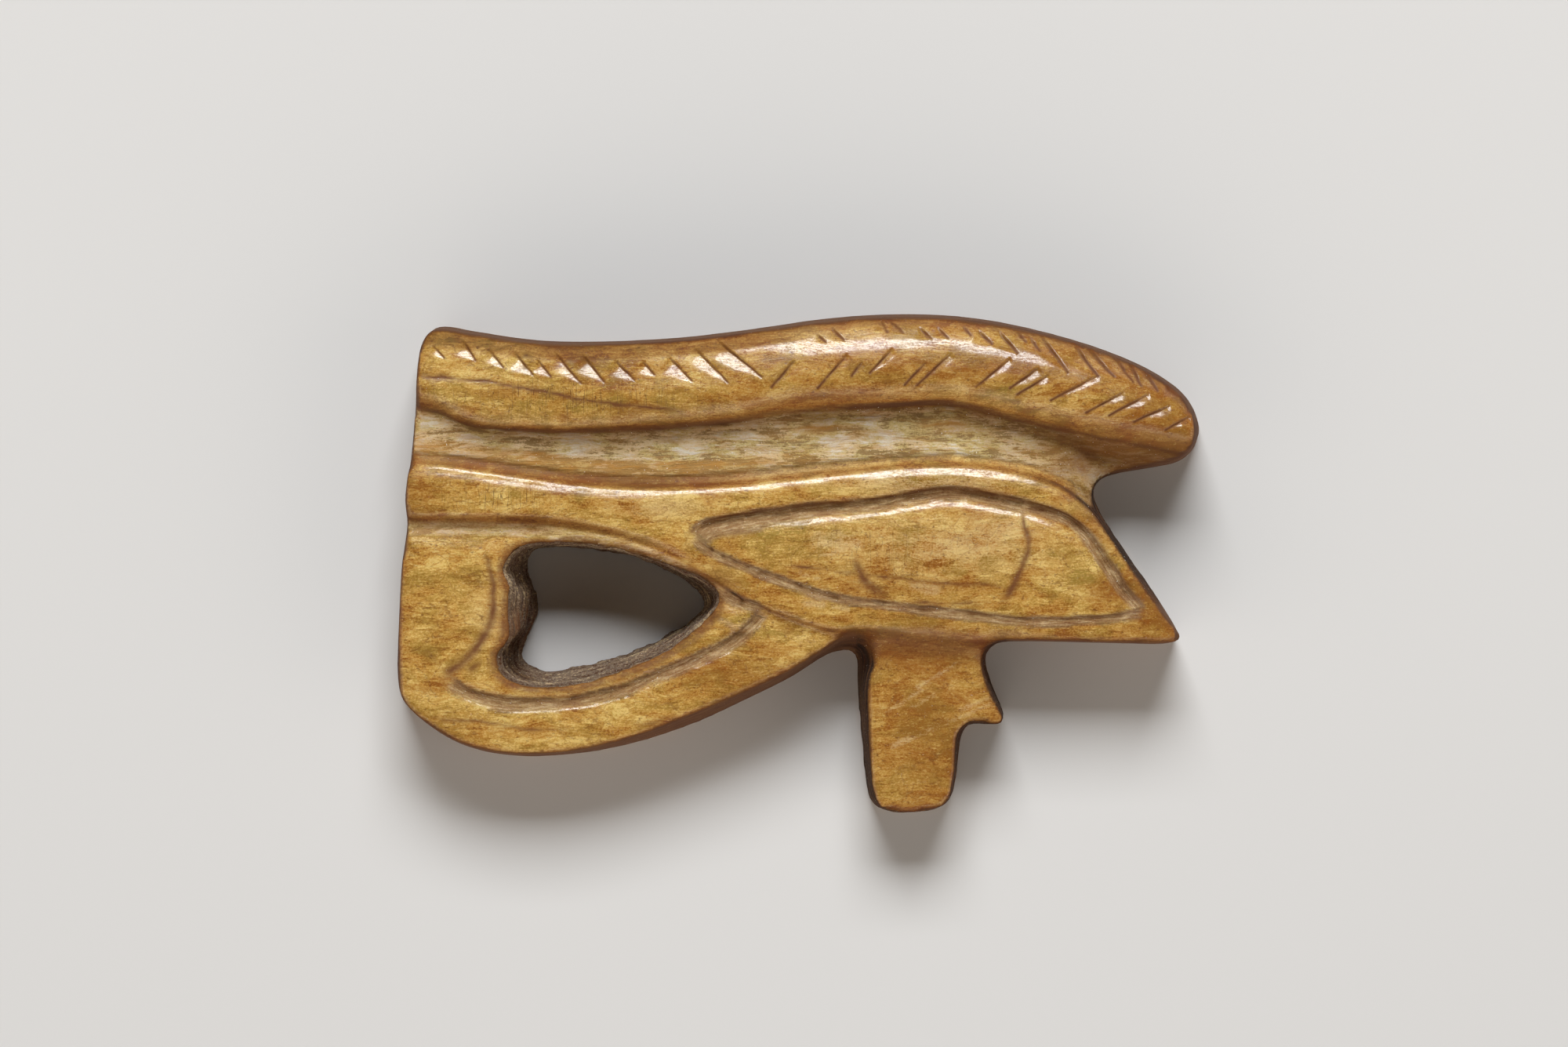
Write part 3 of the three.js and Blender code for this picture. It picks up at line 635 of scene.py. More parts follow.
def mark_slopes(skin, along):
    """Marks what slopes away from the lamp, for painted shade, with a spot of painted shadow on the leg's top
    and a darker spot at the channel's end; the brow's moulded foot, where that shade is weaker; and the band
    along the brow's top, which is dulled and darkened as painted shade.
    """
    places = skin.places
    shade = np.maximum.reduce([
        eased(0.42, 0.75, -skin.facing[:, 1]),
        1.3 * patch(places, *LEG_TOP_SHADOW),
        1.8 * patch(places, *CHANNEL_END),
    ])
    skin.mark("shade", shade * (skin.facing[:, 2] > 0.1))
    foot = strip_between(places, moved(BROW_FOOT, 0.08), moved(BROW_FOOT, -0.01), 0.3)
    skin.mark("foot", foot * eased(0.3, 0.55, along))
    # The band along the brow's top is dulled, and darkened as painted shade
    wide = strip_between(places, moved(BROW_TOP, 0.03), moved(BROW_TOP, -0.045), 0.4)
    thin = strip_between(places, moved(BROW_TOP, 0.03), moved(BROW_TOP, -0.032), 0.7)
    right = eased(0.45, 0.58, along)
    band = np.maximum(wide * (1 - right), 0.9 * thin * right)
    skin.mark("band", np.maximum(band, patch(places, *TAIL_ROOT)) * skin.front)


def mark_patches(skin, along):
    """Marks the dull ledge above the lid, where the horn changes its colour or has fine cracks, and a painted
    shadow on the leg's top.
    """
    places = skin.places
    ledge = strip_between(places, moved(LID_EDGE, 0.05), moved(LID_EDGE, -0.006), 0.2) * skin.front
    skin.mark("ledge", np.maximum(ledge, patch(places, *LEDGE_START)))
    skin.mark("olive", patches(places, OLIVE_PATCHES))
    skin.mark("amber", patches(places, AMBER_AND_SHADOW_PATCHES) + ledge * (1 - eased(0.35, 0.6, along)))
    skin.mark("pale", patches(places, PALE_PATCHES))
    skin.mark("cracked", patches(places, CRACKED_PATCHES))


def mark_regions(skin):
    """Marks the parts of the body that differ in their surface."""
    along, up = (skin.places[:, :2] / (LENGTH, HEIGHT) + 0.5).T
    mark_channel(skin, along)
    mark_sides(skin, along, up)
    mark_slopes(skin, along)
    mark_patches(skin, along)


def weather(skin):
    """Gives the front its uneven hand-cut surface, the channel its fibres and the sides their rough skin."""
    places = skin.places
    hand = 0.05 * ripples(places, (0.2, 0.3, 0.2), 2, 1) + 0.02 * ripples(places, (0.6, 1.0, 0.7), 2, 2)
    fibres = 0.05 * ripples(places, (0.3, 1.8, 0.8), 2, 3)
    hewn = 0.07 * ripples(places, (0.7, 0.7, 1.2), 3, 5)
    layers = 0.09 * np.sin(places[:, 2] * 7 + 2 * ripples(places, 0.4, 1, 6))
    lumps = 0.14 * ripples(places, (0.8, 0.8, 0.7), 2, 7)
    crumbled = 0.07 * ripples(places, (1.5, 1.5, 1.0), 2, 8)
    rise = hand * skin.front + fibres * skin.marks["rough"] + hewn * skin.marks["grey"]
    skin.lift(rise + (layers + lumps) * skin.marks["wall"] + crumbled * skin.marks["rim"])


def raise_under_lid(skin):
    """Raises the valley under the lid where it passes over the opening."""
    places = skin.places
    under = strip_between(places, moved(LID_UNDER, 0.01), moved(LID_UNDER, -0.08), 0.8)
    under *= eased(*UNDER_LID_BEGIN, places[:, 0]) * (1 - eased(*UNDER_LID_END, places[:, 0]))
    skin.places[:, 2] += UNDER_LID_LIFT * under * eased(FRONT_LEVEL, 5.5, places[:, 2])


def square_brow(skin):
    """Squares the brow: lifts its upper part on the left, and its shoulder on the right."""
    places = skin.places
    along = places[:, 0] / LENGTH + 0.5
    top = (np.interp(along, *np.array(BROW_TOP).T) - 0.5) * HEIGHT
    drop = np.maximum(top - places[:, 1] - 0.4, 0)
    left = 1 - eased(0.4, 0.56, along)
    edge = (BROW_LIFT * (1 - eased(0, 3.4, drop)) + TOP_EDGE_LIFT * np.exp(-drop / 0.5)) * left
    near, gap, run, length = beside(places, BROW_SHOULDER, 3)
    ends = eased(0, 6, run) * eased(0, 4, length - run)
    edge[near] += SHOULDER_LIFT * ends * hump(gap / 1.1)
    skin.places[:, 2] += edge * eased(FRONT_LEVEL, 6.4, places[:, 2])


def flatten_crest(skin):
    """Cuts a narrow facet along the upper edge of the lid, deeper at its left and over the eye."""
    near, gap, run, _ = beside(skin.places, moved(LID_EDGE, -0.017), 1)
    deeper = eased(1, 4, run) * (1 - eased(18, 23, run)) + eased(34, 38, run) * (1 - eased(46, 50, run))
    skin.places[near, 2] -= (FACET_DEPTH + FACET_DEEPER * deeper) * hump(gap / FACET_WIDTH)


def mark_steps(skin):
    """Marks the dark lines along the steps above the lid and under the brow."""
    border = np.zeros(len(skin.places))
    for number, (shares, strength, wide) in enumerate(STEP_LINES):
        near, gap, run, _ = beside(skin.places, shares, 1)
        sway = 0.1 * ripples(skin.places[near], 0.7, 2, 35 + number)
        keep_larger(border, near, (strength + sway * 3) * hump((gap + sway) / wide) * eased(0, 4, run))
    skin.mark("border", border * skin.front)


def tear_grooves(skin):
    """Gives the lids' and the tail's grooves torn fibres that run along them, and a dark upper border."""
    groove, torn, border, along, across = np.zeros((5, len(skin.places)))
    for number, (shares, left, right) in enumerate(TORN_GROOVES):
        near, gap, run, length = beside(skin.places, shares, max(left, right) * 3.2)
        flat = gap * 0
        fibres = ripples(np.column_stack([run * 0.5, gap * 4.0, flat]), 1, 3, 20 + number)
        sway = 0.35 * ripples(np.column_stack([run * 0.4, gap * 0.8, flat]), 1, 2, 30 + number)
        ends = eased(0, 0.8, run + 0.2) * eased(0, 0.8, length - run + 0.2)
        widened = 1 + 1.4 * (1 - eased(4, 12, run)) * (shares is UPPER_LID_GROOVE)
        reach = np.abs(gap) / np.where(gap > 0, left, right * widened) + sway + 0.25 * fibres
        zone = ends * (1 - eased(0.6, 1.35, reach))
        keep_larger(groove, near, zone)
        keep_larger(border, near, 0.65 * ends * hump((gap - 0.85 * left) / 0.16 + 2 * sway))
        for total, values in ((torn, fibres * zone), (along, run / 100), (across, 0.5 + gap / 10)):
            total[near] = np.where(zone > 0, values, total[near])
    skin.mark("groove", groove * skin.front)
    skin.mark("border", np.maximum(skin.marks["border"], border * skin.front))
    skin.mark("along", along)
    skin.mark("across", across)
    skin.lift(TORN_RISE * torn * skin.front)


def hair_shape(run, length, size, upper):
    """How wide a hair's facet is along its run, and how steep, beside an upper and beside a lower hair."""
    if upper:
        wide = size * eased(-0.1, 0.25 * length, run) * np.clip((length - run) / (0.7 * length), 0.14, 1)
        return wide, 0.5 + 0.7 * run / length
    wide = 0.4 * size * eased(0, 0.3, run) * np.clip((length - run) / (0.5 * length), 0.35, 1)
    return wide, 1 + 0.9 * run / length


def cut_hairs(skin, depth):
    """Cuts the brow's hairs: a thin line each, and beside it a flat facet that runs out to the line's end.
    The dark line marked along each steep wall is brown dirt and painted shade.
    """
    sunk, dirt = np.zeros((2, len(skin.places)))
    for number, shares in enumerate(UPPER_HAIRS + LOWER_HAIRS):
        near, gap, run, length = beside(skin.places, shares, 1.3)
        upper = number < len(UPPER_HAIRS)
        gap = (-gap if upper else gap) + 0.04 * ripples(skin.places[near], 0.9, 2, number)
        size = (0.4 + 0.8 * eased(0.6, 2.4, length)) * (0.85 + 0.3 * (number * GOLDEN % 1))
        wide, slope = hair_shape(run, length, size, upper)
        facet = wide * np.clip(1 - gap / np.maximum(wide, 0.05), 0, 1)
        wall = wide * np.clip(1 + gap / 0.13, 0, 1)
        within = eased(-0.05, 0.1, run) * eased(-0.05, 0.15, length - run)
        keep_larger(sunk, near, depth * slope * within * np.where(gap > 0, facet, wall))
        # The dark line along the steep wall: brown dirt, with painted shade
        thick = THIN_LINE if number < THIN_HAIRS else FULL_LINE
        fade = 0.35 + 0.65 * eased(0, 0.5, run / length)
        keep_larger(dirt, near, fade * within * hump((gap + 0.02) / thick))
    skin.lift(-sunk * skin.front)
    skin.mark("dirt", dirt * skin.front)


def cut_lines(skin, depth):
    """Cuts the crack and the other thin lines, and lays brown dirt in them and in the iris and tear lines."""
    line = np.zeros(len(skin.places))
    for number, shares in enumerate(FINE_LINES):
        near, gap, run, length = beside(skin.places, shares, 1.0)
        gap = gap + 0.12 * ripples(skin.places[near], 0.8, 2, 40 + number)
        strength = (1.0 if number == 0 else 0.6) + 0.6 * ripples(skin.places[near], 0.5, 2, 60 + number)
        strength *= eased(0, 2.5, run) * eased(0, 2.5, length - run)
        keep_larger(line, near, strength * (0.85 * hump(gap / 0.1) + 0.25 * hump(gap / 0.3)))
    skin.lift(-depth * line * skin.front)
    for number, (shares, _, wide) in enumerate(SMOOTH_GROOVES):
        near, gap, run, length = beside(skin.places, shares, 1.2)
        sway = 0.1 * ripples(skin.places[near], 1.2, 2, 50 + number)
        reach = wide * (0.8 + 1.0 * run / length)
        ends = eased(0, 1.2, run) * eased(-0.3, 1.0, length - run)
        strength = 0.85 + 0.3 * ripples(skin.places[near], 0.9, 2, 70 + number)
        keep_larger(line, near, ends * strength * hump((gap + sway) / reach))
    skin.mark("line", line * skin.front)


def scrape(skin, depth):
    """Scrapes shallow pale facets."""
    sunk = np.zeros(len(skin.places))
    for number, (start, end, width) in enumerate(SCRAPES):
        near, gap, _, _ = beside(skin.places, [start, end], width * 1.5)
        ragged = np.abs(gap) / width + 0.5 * ripples(skin.places[near], 1.2, 2, 80 + number)
        keep_larger(sunk, near, 1 - eased(0.3, 1.05, ragged))
    skin.mark("pale", np.maximum(skin.marks["pale"], 0.6 * sunk) * skin.front)
    skin.lift(-depth * sunk * skin.front)


def mark_hollows(skin):
    """Marks hollows, from how far the surface lies below its rubbed-down self, for painted shade that darkens
    the horn there.
    """
    rubbed = skin.places.copy()
    for _ in range(70):
        rubbed += 0.5 * (skin.around(rubbed) - rubbed)
    proud = ((skin.places - rubbed) * skin.facing).sum(1)
    skin.mark("hollow", eased(0.03, 0.3, -proud))


class Term:
    """A number worked out over the surface; sums and products of terms add Math nodes."""

    def __init__(self, shades, socket):
        self.shades = shades
        self.socket = socket

    def worked(self, operation, *numbers):
        """The outcome of a Math node."""
        return self.shades.node("ShaderNodeMath", {"operation": operation}, dict(enumerate(numbers)))

    def __add__(self, other):
        return self.worked("ADD", self, other)

    def __sub__(self, other):
        return self.worked("SUBTRACT", self, other)

    def __rsub__(self, other):
        return self.worked("SUBTRACT", other, self)

    def __mul__(self, other):
        return self.worked("MULTIPLY", self, other)

    def __abs__(self):
        return self.worked("ABSOLUTE", self)

    __radd__ = __add__
    __rmul__ = __mul__


class Shades:
    """The nodes of one material, or of the world."""

    def __init__(self, owner):
        self.owner = owner
        owner.use_nodes = True
        self.tree = owner.node_tree
        self.tree.nodes.clear()

    def node(self, kind, settings=None, sockets=None, output=0):
        """Adds a node: its settings come first, then the values and links of its sockets."""
        made = self.tree.nodes.new(kind)
        for name, value in (settings or {}).items():
            setattr(made, name, value)
        for name, value in (sockets or {}).items():
            if isinstance(value, Term):
                self.tree.links.new(value.socket, made.inputs[name])
            else:
                made.inputs[name].default_value = value
        return made if output is None else Term(self, made.outputs[output])

    def mark(self, name):
        """A mark kept on the mesh."""
        return self.node("ShaderNodeAttribute", {"attribute_name": name}, output="Fac")

    def stretch(self, vector, *scale):
        """The vector with each axis scaled."""
        return self.node("ShaderNodeVectorMath", {"operation": "MULTIPLY"}, {0: vector, 1: scale})

    def swayed(self, vector, drift, reach):
        """The vector moved by a drift, as far as its reach along each axis."""
        sockets = {0: drift, 1: reach, 2: vector}
        return self.node("ShaderNodeVectorMath", {"operation": "MULTIPLY_ADD"}, sockets)

    def cloud(self, vector, scale, detail=2.0, roughness=0.5, output=0):
        """Soft noise, from 0 to 1; scale is how many clouds fit in a millimetre, along each axis."""
        stretched = self.stretch(vector, *scale)
        sockets = {"Vector": stretched, "Scale": 1.0, "Detail": detail, "Roughness": roughness}
        return self.node("ShaderNodeTexNoise", None, sockets, output)

    def step(self, low, high, value):
        """A smooth rise from 0 at low to 1 at high."""
        sockets = {"Value": value, "From Min": low, "From Max": high}
        return self.node("ShaderNodeMapRange", {"interpolation_type": "SMOOTHSTEP"}, sockets)

    def contour(self, value, width):
        """Thin lines where a value passes a half."""
        return 1 - self.step(0, width, abs(value - 0.5))

    def mix(self, share, first, second, blend="MIX"):
        """The first colour at a share of 0, and the second, or its product with the first, at 1."""
        sockets = {0: share, 6: first, 7: second}
        return self.node("ShaderNodeMix", {"data_type": "RGBA", "blend_type": blend}, sockets, 2)

    def under(self, layers, colour, blend="MIX"):
        """The colour under layers, each of which is a share and a colour."""
        for share, after in layers:
            colour = self.mix(share, colour, after, blend)
        return colour

    def ramp(self, value, stops):
        """A colour for a value, which passes softly from stop to stop; each stop is a value and a colour."""
        (low, colour), *rest = stops
        for high, after in rest:
            colour = self.mix(self.step(low, high, value), colour, after)
            low = high
        return colour


# Marks that the carving leaves on the mesh, and that the horn's nodes read
MARKS = (
    "rough", "side", "grey", "wall", "turned", "rim", "ledge", "foot", "groove", "border", "dirt", "line",
    "hollow", "shade", "band", "olive", "amber", "pale", "cracked", "along", "across",
)


def horn_clouds(shades, mark):
    """The horn's noises: swaying clouds, fibres and layers, fine grain, and fibres along the grooves."""
    spot = shades.stretch(shades.node("ShaderNodeTexCoord", output="Object"), 1 / MM, 1 / MM, 1 / MM)
    drift = shades.cloud(spot, (0.25, 0.3, 0.3), 2, output="Color")
    bent = shades.swayed(spot, drift, (2.4, 1.3, 0.8))
    swept = shades.swayed(spot, drift, (0.5, 0.8, 0.8))
    fleck = shades.cloud(spot, (2.4, 4.0, 3.0), 2, 0.6)
    ragged = shades.swayed(bent, fleck, (0.8, 0.5, 0.5))
    flakes = {"Vector": shades.stretch(ragged, 0.7, 1.9, 1.5), "Scale": 1.0}
    runs = shades.node("ShaderNodeCombineXYZ", None, {0: mark.along, 1: mark.across})
    return SimpleNamespace(
        broad=shades.cloud(bent, (0.14, 0.24, 0.2), 2),
        blotch=shades.cloud(bent, (0.5, 0.9, 0.7), 4, 0.6),
        hue=shades.cloud(bent, (0.35, 0.6, 0.5), 3, 0.6, "Color"),
        layer=shades.cloud(bent, (0.12, 0.2, 1.6), 3, 0.5),
        streak=shades.cloud(bent, (0.35, 2.6, 2.0), 5, 0.65),
        fibre=shades.cloud(bent, (1.0, 9.0, 6.0), 4, 0.65),
        grain=shades.cloud(spot, (6.0, 8.0, 8.0), 3, 0.7),
        fleck=fleck,
        check=shades.cloud(spot, (2.6, 0.16, 0.3), 2, 0.5),
        lamina=shades.cloud(spot, (0.15, 0.15, 2.6), 3, 0.5),
        strand=shades.cloud(swept, (0.2, 2.2, 1.8), 4, 0.65),
        thread=shades.cloud(swept, (0.8, 6.0, 5.0), 4, 0.7),
        fuzz=shades.cloud(swept, (0.4, 0.9, 0.8), 6, 0.7),
        crumb=shades.cloud(spot, (7.0, 7.0, 7.0), 1),
        torn=shades.cloud(runs, (70.0, 60.0, 1.0), 4, 0.7),
        flake=shades.node("ShaderNodeTexVoronoi", {"feature": "F1"}, flakes, "Color"),
        seam=shades.node("ShaderNodeTexVoronoi", {"feature": "DISTANCE_TO_EDGE"}, flakes, "Distance"),
    )


def polished_colour(shades, tone, mark, cloud):
    """Golden horn with brown clouds, olive patches, edges of layers, flakes, flecks and fine cracks, and
    painted shade on the brow's top band and on the slopes turned from the lamp.
    """
    tones = cloud.broad * 0.45 + cloud.blotch * 0.7 + cloud.streak * 0.5 + cloud.fibre * 0.7
    tones = tones + cloud.grain * 0.8 + cloud.flake * 0.24 - 1.16
    tones = tones - mark.amber * 0.14 + mark.pale * 0.12 - mark.turned * 0.1
    stops = [(0.28, tone.amber), (0.4, tone.ochre), (0.56, tone.gold), (0.76, tone.straw)]
    green = shades.step(0.42, 0.62, cloud.hue) * 0.5 + mark.olive * 0.6
    seam = shades.step(0.06, 0, cloud.seam) * shades.step(0.4, 0.6, cloud.blotch)
    stains = [
        (green * shades.step(0.8, 0.4, tones), tone.olive),
        (mark.amber * 0.5 + shades.step(0.5, 0.3, cloud.hue) * 0.4, tone.amber),
        (shades.contour(cloud.layer, 0.012) * shades.step(0.4, 0.6, cloud.fleck) * 0.5, tone.rust),
        (mark.pale * shades.step(0.3, 0.6, tones) * 0.6, tone.pale),
        (seam * 0.45, tone.amber),
        (shades.step(0.6, 0.72, cloud.fleck) * 0.35, tone.straw),
        (shades.step(0.4, 0.28, cloud.fleck) * 0.6, tone.rust),
    ]
    # The brow's top band and the slopes turned from the lamp darken the horn as painted shade, and the turned
    # edges darken it too.
    bare = 1 - mark.foot * 0.7
    shadows = (mark.band * 0.7, mark.turned * bare * 0.9, mark.shade * bare * 0.6)
    darker = [(share, tone.tan) for share in shadows]
    colour = shades.under(darker, shades.under(stains, shades.ramp(tones, stops)), "MULTIPLY")
    return shades.mix(shades.contour(cloud.check, 0.012) * mark.cracked * 0.9, colour, tone.umber)


def channel_colour(shades, tone, mark, cloud):
    """Grey and greenish horn in rough fibres, with browner streaks and a darker end, painted shade where it
    slopes away from the lamp, and painted glints where its palest fibres run up to the crumb tone.
    """
    strands = cloud.strand * 0.6 + cloud.thread * 0.9 + cloud.grain * 0.5 + cloud.fuzz * 1.4 - 1.13
    strands = strands - mark.amber * 0.1
    grey = shades.ramp(strands, [(0.42, tone.soot), (0.56, tone.stone), (0.9, tone.crumb)])
    green = shades.ramp(strands, [(0.42, tone.soot), (0.56, tone.moss), (0.84, tone.crumb)])
    rough = shades.mix(shades.step(0.44, 0.56, cloud.hue), grey, green)
    rough = shades.mix(mark.amber * 0.5 + shades.step(0.52, 0.38, cloud.streak) * 0.4, rough, tone.ochre)
    # Blotches darken the channel, and its slopes turned from the lamp get painted shade.
    darker = [(shades.step(0.55, 0.35, cloud.blotch) * 0.3, tone.moss), (mark.shade * 0.5, tone.ash)]
    return shades.under(darker, rough, "MULTIPLY")


def groove_colour(shades, tone, cloud):
    """Dirt between pale fibres that run along the grooves."""
    dusty = cloud.torn * 0.9 + cloud.grain * 0.3 + cloud.blotch * 0.4 - 0.24
    return shades.ramp(dusty, [(0.36, tone.rust), (0.52, tone.dirt), (0.78, tone.pale)])


def side_colour(shades, tone, mark, cloud):
    """Smooth brown horn round the outline, and grey gritty layers on the leg and in the opening."""
    smooth = shades.ramp(cloud.layer * 0.5 + cloud.streak * 0.5, [(0.4, tone.umber), (0.6, tone.bark)])
    grit = cloud.grain * 0.6 + cloud.fleck * 0.25 + cloud.lamina * 0.6 - 0.22
    gritty = shades.ramp(grit, [(0.36, tone.umber), (0.5, tone.ash), (0.7, tone.pale)])
    gritty = shades.mix(1 - mark.wall, gritty, tone.ash, "MULTIPLY")
    gritty = shades.mix(mark.amber * shades.step(0.45, 0.55, cloud.lamina) * 0.8, gritty, tone.rust)
    return shades.mix(mark.grey, smooth, gritty)


def horn_colour(shades, tone, mark, cloud):
    """The polished horn, and over it the channel, the grooves, the sides, painted shade in the hollows, and
    the dirt in the cuts, which along the hairs' steep walls also stands for painted shade.
    """
    rough_parts = [
        (mark.rough, channel_colour(shades, tone, mark, cloud)),
        (mark.groove * 0.8, groove_colour(shades, tone, cloud)),
        (mark.border * 0.75, tone.umber),
        (mark.side, side_colour(shades, tone, mark, cloud)),
        (mark.rim * shades.step(0.3, 0.6, cloud.blotch * 0.5 + cloud.fleck * 0.5) * 0.75, tone.rust),
    ]
    crumbs = shades.step(0.75, 0.78, cloud.crumb) * (mark.grey + mark.rough + mark.groove + 0.3)
    dirt = [
        (mark.dirt * shades.step(0.2, 0.5, cloud.blotch), tone.rust),
        (mark.line * 0.95, tone.rust),
        (crumbs, tone.crumb),
    ]
    colour = shades.under(rough_parts, polished_colour(shades, tone, mark, cloud))
    # Painted shade darkens the horn in its hollows, and the dirt, the lines and the crumbs lie over it.
    return shades.under(dirt, shades.mix(mark.hollow * 0.8, colour, tone.tan, "MULTIPLY"))


def horn_relief(shades, mark, cloud):
    """How high the fibres, the flakes, the grain and the layers stand, in millimetres."""
    height = cloud.streak * 0.012 + cloud.fibre * 0.014 + cloud.flake * 0.012
    height = height + cloud.torn * mark.groove * 0.12
    height = height + (cloud.strand * 0.16 + cloud.thread * 0.07) * mark.rough
    height = height + cloud.grain * (mark.rough * 0.05 + mark.groove * 0.05 + mark.grey * 0.14 + 0.012)
    return height - shades.contour(cloud.check, 0.015) * mark.cracked * 0.02 + cloud.lamina * mark.wall * 0.4


def horn(colours):
    """Polished golden horn with brown dirt in its cuts, and rough grey-brown horn where it isn't polished."""
    shades = Shades(bpy.data.materials.new("horn"))
    tone = SimpleNamespace(**{name: (*getattr(colours, name), 1) for name in HornColours.__annotations__})
    mark = SimpleNamespace(**{name: shades.mark(name) for name in MARKS})
    cloud = horn_clouds(shades, mark)
    dull = mark.rough * 0.6 + mark.grey + mark.side + mark.groove + mark.shade + mark.band * 1.3
    dull = dull + mark.dirt + mark.turned * 0.8 + mark.rim + mark.line + mark.ledge
    polish = shades.step(0.8, 0, dull) * shades.step(0.4, 0.57, cloud.grain * 0.5 + cloud.fibre * 0.5)
    bumps = {"Height": horn_relief(shades, mark, cloud), "Distance": MM}
    sockets = {
        "Base Color": horn_colour(shades, tone, mark, cloud),
        "Roughness": dull * 0.35 + shades.step(0.4, 0.7, cloud.grain) * 0.15 + 0.2,
        "Specular IOR Level": 0.25,
        "Normal": shades.node("ShaderNodeBump", None, bumps),
        "Coat Weight": polish,
        "Coat Roughness": 0.13,
        "Subsurface Weight": 0.15,
        "Subsurface Radius": (1.0, 0.45, 0.15),
        "Subsurface Scale": 0.6 * MM,
    }
    surface = shades.node("ShaderNodeBsdfPrincipled", None, sockets)
    shades.node("ShaderNodeOutputMaterial", None, {"Surface": surface}, None)
    return shades.owner


def even_body(piece, spacing):
    """Gives the body even faces that lie on the solid, finer on the front and in the opening."""
    even_faces(piece, spacing)
    skin = Skin(piece.data)
    top = (skin.facing[:, 2] > 0.3) & (skin.places[:, 2] > FRONT_LEVEL)
    opening = near_opening(skin.places) & (skin.facing[:, 2] > -0.3)
    halve_faces(piece.data, skin.between(top | opening, 0.5))
    snap_to_solid(piece, np.ones(len(piece.data.vertices), bool))
    skin = Skin(piece.data)
    skin.fill(80, skin.front * nearness(skin.places, HAIR_BEDS, 0.3))
    skin.even_out(8, 1 - nearness(skin.places, GROOVES, 0.3))
    skin.rub(8, 0.5, skin.front * nearness(skin.places, HAIR_BEDS, 0.4))
    skin.store()


def refine_cuts(piece, wear):
    """Halves the faces near the cuts, and along the thinnest lines once more, and rubs the edges down."""
    skin = Skin(piece.data)
    cuts = skin.front * nearness(skin.places, GROOVES + HAIR_BEDS + THIN_LINES, 0.15)
    halve_faces(piece.data, skin.between(cuts, 0.5))
    skin = Skin(piece.data)
    snap_to_solid(piece, skin.front & (nearness(skin.places, GROOVES, 0.1) > 0.9))
    skin = Skin(piece.data)
    skin.rub(wear)
    skin.rub(3 * wear, 0.5, nearness(skin.places, CRESTS, 0.3))
    skin.rub(20 * wear, 0.5, skin.front * nearness(skin.places, LEG_STEP, 0.6))
    skin.store()
    lines = skin.front * nearness(skin.places, HAIR_LINES + THIN_LINES[:1], 0.08)
    halve_faces(piece.data, skin.between(lines, 0.4))


def carve_details(mesh, sizes):
    """Carves the fine work in the refined body, and marks it for the horn's nodes."""
    skin = Skin(mesh)
    skin.rub(3, 0.5, skin.front)
    skin.find_facing()
    mark_regions(skin)
    square_brow(skin)
    flatten_crest(skin)
    skin.find_facing()
    weather(skin)
    raise_under_lid(skin)
    mark_steps(skin)
    tear_grooves(skin)
    scrape(skin, sizes.scrape_depth / MM)
    cut_hairs(skin, sizes.hair_depth / MM)
    cut_lines(skin, sizes.line_depth / MM)
    skin.rub(1, 0.3)
    skin.find_facing()
    mark_hollows(skin)
    low, high = (np.array(corner) / MM for corner in CAD_BOX)
    skin.places = np.clip(skin.places, low, high)
    skin.store()
    skin.save_marks()


class AMULET_OT_carve_horn(bpy.types.Operator):
    """Carves the amulet's body and gives it its horn"""

    bl_idname = "amulet.carve_horn"
    bl_label = "Carve the horn"

    def execute(self, context):
        sizes = context.scene.amulet_carving
        piece = bpy.data.objects.new("carved_horn", merged_body())
        context.scene.collection.objects.link(piece)
        even_body(piece, sizes.spacing)
        refine_cuts(piece, sizes.wear)
        fill_back(piece.data)
        carve_details(piece.data, sizes)
        piece.data.polygons.foreach_set("use_smooth", np.ones(len(piece.data.polygons), bool))
        piece.data.materials.append(horn(context.scene.amulet_horn))
        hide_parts(CAD_NODE)
        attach(piece, "root")
        return {"FINISHED"}


def pale_floor(colour):
    """A wide flat floor of dull pale paper."""
    sheet = bmesh.new()
    bmesh.ops.create_grid(sheet, x_segments=1, y_segments=1, size=FLOOR_HALF)
    mesh = bpy.data.meshes.new("floor")
    sheet.to_mesh(mesh)
    sheet.free()
    paper = Shades(bpy.data.materials.new("pale_paper"))
    sockets = {"Base Color": (*colour, 1), "Roughness": 0.9}
    surface = paper.node("ShaderNodeBsdfPrincipled", None, sockets)
    paper.node("ShaderNodeOutputMaterial", None, {"Surface": surface}, None)
    mesh.materials.append(paper.owner)
    return bpy.data.objects.new("floor", mesh)


def soft_lamp(settings):
    """A wide soft lamp that shines down on the amulet from above the brow."""
    lamp = bpy.data.lights.new("soft_lamp", "AREA")
    lamp.shape = "RECTANGLE"
    lamp.size, lamp.size_y = (share * settings.lamp_distance for share in LAMP_SHARES)
    lamp.energy = settings.lamp_power
    lamp.color = settings.lamp_tint
    stand = bpy.data.objects.new("soft_lamp", lamp)
    rise = settings.lamp_rise
    stand.location = (0, settings.lamp_distance * math.cos(rise), settings.lamp_distance * math.sin(rise))
    stand.rotation_euler = (rise - math.pi / 2, 0, 0)
    return stand


def low_light(strength, colour):
    """A world that shines from low down across from the lamp, with a pale backdrop for the camera."""
    shades = Shades(bpy.data.worlds.new("low_light"))
    way = shades.node("ShaderNodeTexCoord", output="Generated")
    parts = shades.node("ShaderNodeSeparateXYZ", None, {0: way}, None)
    rise, back = (Term(shades, parts.outputs[axis]) for axis in "ZY")
    camera = shades.node("ShaderNodeLightPath", output="Is Camera Ray")
    low = (1 - shades.step(0.34, 0.8, rise)) * (1 - shades.step(-0.35, 0.35, back))
    sockets = {
        "Color": shades.mix(camera, (*colour, 1), (1, 1, 1, 1)),
        "Strength": low * strength * (1 - camera) + camera * BACKDROP,
    }
    light = shades.node("ShaderNodeBackground", None, sockets)
    shades.node("ShaderNodeOutputWorld", None, {"Surface": light}, None)
    return shades.owner


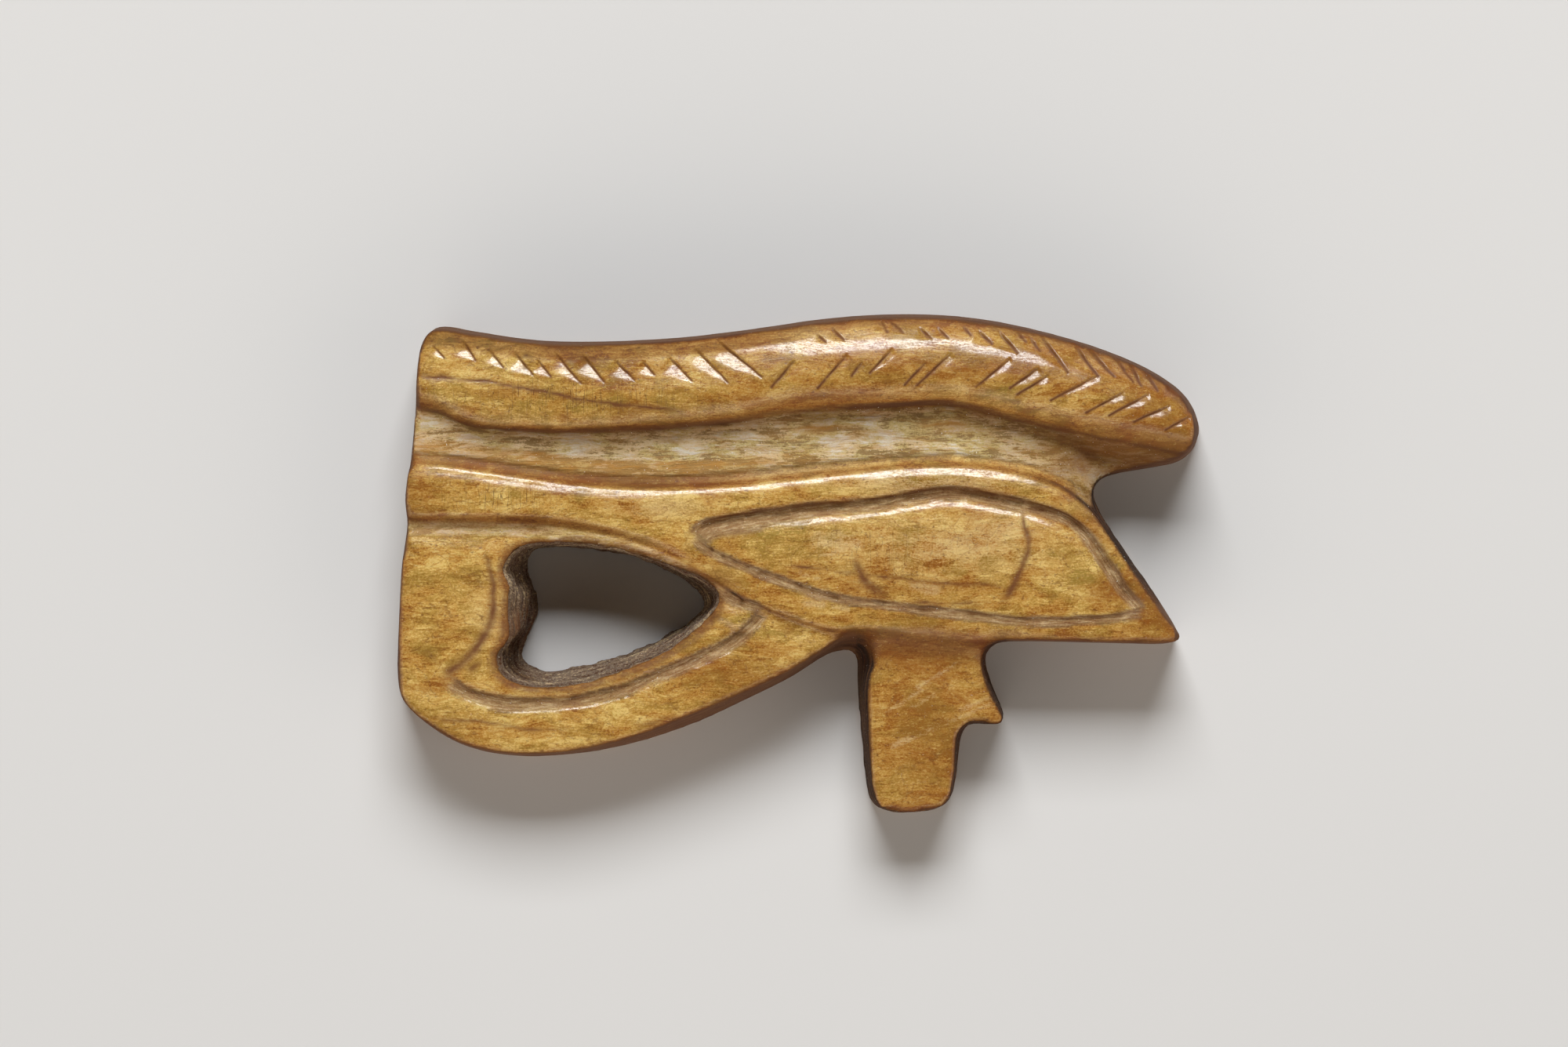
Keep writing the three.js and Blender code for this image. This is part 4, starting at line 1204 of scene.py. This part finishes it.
def high_camera(settings):
    """A camera that looks straight down from high above the amulet."""
    view = bpy.data.cameras.new("camera")
    view.sensor_width = 36
    view.lens = settings.lens
    camera = bpy.data.objects.new("camera", view)
    camera.location = (*(place * MM for place in FRAME_MIDDLE), settings.camera_height)
    return camera


class AMULET_OT_set_stage(bpy.types.Operator):
    """Lays the pale floor, and sets the lamp, the low light and the camera"""

    bl_idname = "amulet.set_stage"
    bl_label = "Set the stage"

    def execute(self, context):
        settings = context.scene.amulet_stage
        scene = context.scene
        floor = pale_floor(settings.floor)
        camera = high_camera(settings)
        for thing in (floor, soft_lamp(settings), camera):
            scene.collection.objects.link(thing)
        scene.world = low_light(settings.fill_strength, settings.fill_tint)
        scene.camera = camera
        scene.view_settings.view_transform = "Standard"
        return {"FINISHED"}


class AMULET_PT_panel(bpy.types.Panel):
    """Lists the sizes and the steps of the carving"""

    bl_label = "Amulet"
    bl_idname = "AMULET_PT_panel"
    bl_space_type = "VIEW_3D"
    bl_region_type = "UI"
    bl_category = "Amulet"

    def draw(self, context):
        scene = context.scene
        for settings in (scene.amulet_carving, scene.amulet_horn, scene.amulet_stage):
            for name in settings.__annotations__:
                self.layout.prop(settings, name)
        self.layout.operator(AMULET_OT_carve_horn.bl_idname)
        self.layout.operator(AMULET_OT_set_stage.bl_idname)


CLASSES = (
    CarvingSizes,
    HornColours,
    StageSettings,
    AMULET_OT_carve_horn,
    AMULET_OT_set_stage,
    AMULET_PT_panel,
)


def register():
    for made in CLASSES:
        bpy.utils.register_class(made)
    bpy.types.Scene.amulet_carving = PointerProperty(type=CarvingSizes)
    bpy.types.Scene.amulet_horn = PointerProperty(type=HornColours)
    bpy.types.Scene.amulet_stage = PointerProperty(type=StageSettings)


def unregister():
    del bpy.types.Scene.amulet_stage
    del bpy.types.Scene.amulet_horn
    del bpy.types.Scene.amulet_carving
    for made in reversed(CLASSES):
        bpy.utils.unregister_class(made)


def main():
    register()
    bpy.ops.amulet.carve_horn()
    bpy.ops.amulet.set_stage()


if __name__ == "__main__":
    main()
